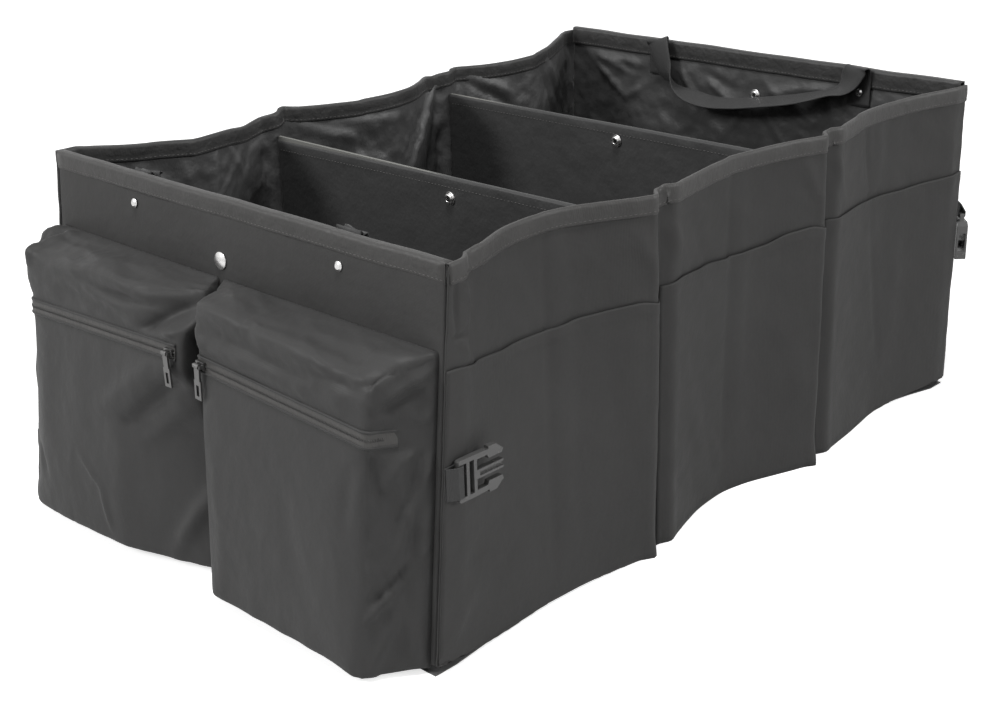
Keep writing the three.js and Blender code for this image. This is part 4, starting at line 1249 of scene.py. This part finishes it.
pocket_tone = cloth_finish("pocket_cloth", 66, 0.008, 0.04, 0.48, 1.1 * MM, 1.6 * MM, 0.02 * MM, 0.16)
for side, outline in pocket_outlines.items():
    bag = finished(f"{side}_zip_pocket", bag_shape(outline), pocket_tone)
    relax(bag, pocket_pins(outline), 0.05, pocket_cap, 18, 0.6, pocket_looseness)
    subdivided(bag)
    normals = [v.normal.copy() for v in bag.data.vertices]
    for v, normal in zip(bag.data.vertices, normals):
        v.co = crushed_pocket(side, outline, v.co.copy(), normal)
    bag.data.transform(front_end)
    thicken(bag, cloth_thickness)
    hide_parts(f"{side}_pocket_bag")

# The zips have a dark woven tape behind a nylon coil, between two folded lips of the pocket's own
# cloth. The coil is a row of small close loops, sewn along the middle of the tape.
zip_tape_tone = tape_finish("zip_tape", 68, 0.04, 0.8 * MM)
coil_tone = Finish("zip_coil", Roughness=0.42, Specular_IOR_Level=0.5, Base_Color=(*grey(60, 0.03), 1))
lip_profile = [
    (a * MM, b * MM) for a, b in ((0, 0), (0.9, 0.2), (1.2, 0.9), (1.1, 1.7), (0.7, 2.3), (0, 2.6))]
lip_start = 4.5 * MM
tape_rise, tape_sunk = 0.5 * MM, 0.2 * MM
coil_pitch, coil_rise = 1.5 * MM, 0.35 * MM
coil_loop = Matrix.Diagonal((0.55 * MM, 1.5 * MM, 0.95 * MM, 1))
plumb = Vector((0, 0, 1))
for side, outline in pocket_outlines.items():
    line = outline.zip_line()
    stations = []
    for i, point in enumerate(line):
        along = (line[min(i + 1, len(line) - 1)] - line[max(i - 1, 0)]).normalized()
        stations.append((point, along.cross(plumb) * -outline.sign, plumb))
    tape_section = [
        (-tape_sunk, -zip_half), (tape_rise, -zip_half), (tape_rise, zip_half), (-tape_sunk, zip_half)]
    shape = swept(stations, tape_section)
    bmesh.ops.transform(shape, matrix=front_end, verts=shape.verts)
    tape = finished(f"{side}_zip_tape", shape, zip_tape_tone, smooth=False)
    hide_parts(f"{side}_pocket_zip")
    for number, turn in enumerate((-1, 1), 1):
        section = [(a, turn * (b + lip_start)) for a, b in lip_profile]
        shape = swept(stations, section[::turn])
        bmesh.ops.transform(shape, matrix=front_end, verts=shape.verts)
        finished(f"{side}_zip_lip_{number}", shape, pocket_tone)
    coil = []
    for at, along, number in spaced(line[:-2], coil_pitch, 0.0):
        turn = Matrix((along, plumb, along.cross(plumb))).transposed().to_4x4()
        place = Matrix.Translation(at + stations[number][1] * coil_rise)
        coil.append(front_end @ place @ turn @ coil_loop)
    finished(f"{side}_zip_coil", stamped(stitch_bead, coil), coil_tone.material)


# Metal fittings. Snap caps, rings, studs and rivets are pressed from thin sheet and nickel plated.
# The sliders and pull tabs are cast, with a darker plate that is worn bright along the edges.
def metal_finish(name, level, roughness, scratch):
    finish = Finish(name, Metallic=1.0, Base_Color=(*grey(level, 0.01), 1))
    vector = finish.place()
    smear = finish.noise(vector, 300, 4, 0.6)
    rough = roughness + scratch * (smear - 0.4)
    normal = finish.bump(finish.noise(vector, 700, 3), 0.05 * MM, 0.5)
    return finish.set(Roughness=rough, Normal=normal).material


bright_nickel = metal_finish("bright_nickel", 235, 0.26, 0.16)
dark_nickel = metal_finish("dark_nickel", 120, 0.34, 0.3)


def softened(node, material, body, width, segments=2, angle=25):
    """A copy of a CAD node with its edges rounded, which stands for that node."""
    shape = bmesh.new()
    shape.from_mesh(sources[node].data)
    bmesh.ops.remove_doubles(shape, verts=shape.verts, dist=0.002 * MM)
    flat = math.radians(1.5)
    bmesh.ops.dissolve_limit(shape, angle_limit=flat, verts=shape.verts, edges=shape.edges)
    bmesh.ops.recalc_face_normals(shape, faces=shape.faces)
    piece = finished(node + "_finished", shape, material, body)
    bevel = piece.modifiers.new("edges", "BEVEL")
    bevel.width = width
    bevel.segments = segments
    bevel.limit_method = "ANGLE"
    bevel.angle_limit = math.radians(angle)
    bevel.use_clamp_overlap = True
    piece.data.set_sharp_from_angle(angle=math.radians(40))
    weighted = piece.modifiers.new("shading", "WEIGHTED_NORMAL")
    weighted.keep_sharp = True
    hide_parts(node)
    return piece


for name in sources:
    if "snap" in name or "rivet" in name:
        softened(name, bright_nickel, "bag", 0.25 * MM, 3, 30)
for side in ("right", "left"):
    softened(f"{side}_zip_slider", dark_nickel, f"{side}_slider", 0.25 * MM)
    softened(f"{side}_zip_puller", dark_nickel, f"{side}_puller", 0.3 * MM)


# The carrying handles are flat woven webbing, riveted inside the panel at both ends. The strap turns
# over above the rim, and its slack middle lies edge-on below the snap.
def webbing_finish():
    finish = Finish("webbing", Specular_IOR_Level=0.4, Sheen_Weight=0.06)
    vector = finish.place()
    x, y, z = finish.axes(vector)
    rows = ((x + y + z) * (math.tau / (1.6 * MM))).sine() * ((x - y + z) * (math.tau / (2.2 * MM))).sine()
    color = finish.tint(finish.noise(vector, 60, 3), grey(50), grey(62))
    normal = finish.bump(rows, 0.16 * MM, 0.8)
    return finish.set(Base_Color=color, Normal=normal, Roughness=0.55).material


webbing = webbing_finish()
strap_width, strap_thickness = 25 * MM, 1.8 * MM
rivet_spread = 128 * MM
handle_sag = 51 * MM
strap_seat = panel_half + 2.5 * MM
stand_off = 20.5 * MM
strap_steps = 7


def curve_through(points, steps):
    """A smooth line through a row of points, as lists of numbers of any length."""
    ends = [points[0]] + points + [points[-1]]
    line = []
    for p0, p1, p2, p3 in zip(ends, ends[1:], ends[2:], ends[3:]):
        for i in range(steps):
            t = i / steps
            line.append([
                0.5 * (2 * b + (c - a) * t + (2 * a - 5 * b + 4 * c - d) * t * t
                       + (3 * b - a - 3 * c + d) * t ** 3)
                for a, b, c, d in zip(p0, p1, p2, p3)])
    return line + [list(points[-1])]


def strap_shape(places, frame_of):
    """A strap through places of six numbers: a point, and the direction across the strap."""
    line = curve_through(places, strap_steps)
    spots = [Vector(p[:3]) for p in line]
    stations = []
    for i, (spot, p) in enumerate(zip(spots, line)):
        along = (spots[min(i + 1, len(spots) - 1)] - spots[max(i - 1, 0)]).normalized()
        across = Vector(p[3:])
        across = (across - along * across.dot(along)).normalized()
        stations.append((spot, across, along.cross(across)))
    w, t = strap_width / 2, strap_thickness / 2
    section = [
        (-w, -t * 0.5), (-w + t, -t), (-w / 2, -t), (0, -t), (w / 2, -t), (w - t, -t), (w, -t * 0.5),
        (w, t * 0.5), (w - t, t), (w / 2, t), (0, t), (-w / 2, t), (-w + t, t), (-w, t * 0.5)]
    shape = swept(stations, section)
    bmesh.ops.transform(shape, matrix=frame_of, verts=shape.verts)
    return shape


# Each fall of a strap from the rim: out from the panel, in from the rivet, share of the sag, turn
plain_fall = [(13.5, 0, 0, 0), (15, 1, 0.25, 0.1), (16, 8, 0.6, 0.35), (17, 30, 0.86, 0.8)]
steep_fall = [(13.5, 4, -0.03, 0), (15, 10, 0.25, 0.1), (16, 18, 0.55, 0.25), (17, 34, 0.8, 0.65)]
easy_fall = [(13.5, 3, -0.03, 0), (15, 10, 0.18, 0.2), (16, 26, 0.4, 0.6)]
middle_shares = [(0.56, 0.94), (0.36, 1), (0.1, 0.94), (-0.2, 0.8), (-0.52, 0.62)]
handle_tip = 0.3
tab_below, crest = 14 * MM, 4.5 * MM


def handle_places(slack, rise, rivet_drop, first_fall, last_fall):
    """Places of a strap from its slack side to the other: a point, and the direction across it."""
    seat = strap_seat + strap_thickness / 2
    tab = [(seat, 0, -rivet_drop - tab_below, 0), (seat, 0, 0, 0), (seat + crest, -1 * MM, rise, 0)]

    def half(fall, side, turn_sign):
        places = tab + [(i * MM, -b * MM, -share * handle_sag, turn) for i, b, share, turn in fall]
        return [
            (i, side * (rivet_spread + shift), z, -side * turn_sign * turn, 1 - turn, 0)
            for i, shift, z, turn in places]

    middle = [
        (stand_off, slack * share * rivet_spread, -depth * handle_sag, -slack, 0, slack * handle_tip)
        for share, depth in middle_shares]
    return half(first_fall, slack, 1) + middle + half(last_fall, -slack, -1)[::-1]


handles = {
    "front_handle": (front_end, 1, -4 * MM, 24 * MM, plain_fall, plain_fall),
    "rear_handle": (rear_end, -1, 6 * MM, 19.5 * MM, steep_fall, easy_fall),
}
for name, (end, *shape_of) in handles.items():
    shape = strap_shape(handle_places(*shape_of), end)
    strap = finished(name + "_strap", shape, webbing)
    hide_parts(name)


# A side-release buckle of moulded plastic. The male half lies on the right wall near the front
# corner, and the female half hangs by the far corner, each on a short tab of webbing.
def plastic_finish():
    finish = Finish("buckle_plastic", Specular_IOR_Level=0.7, Base_Color=(*grey(84, 0.01), 1))
    vector = finish.place()
    grain = finish.noise(vector, 1500, 2, 0.6)
    rough = 0.24 + 0.2 * (finish.noise(vector, 90, 3) - 0.5)
    return finish.set(Roughness=rough, Normal=finish.bump(grain, 0.03 * MM, 0.6)).material


buckle_plastic = plastic_finish()
for name in ("male_buckle", "female_buckle"):
    softened(name, buckle_plastic, "bag", 0.5 * MM, 3)
for name in ("male_buckle_tab", "female_buckle_tab"):
    softened(name, webbing, "bag", 0.3 * MM, 2, 60)
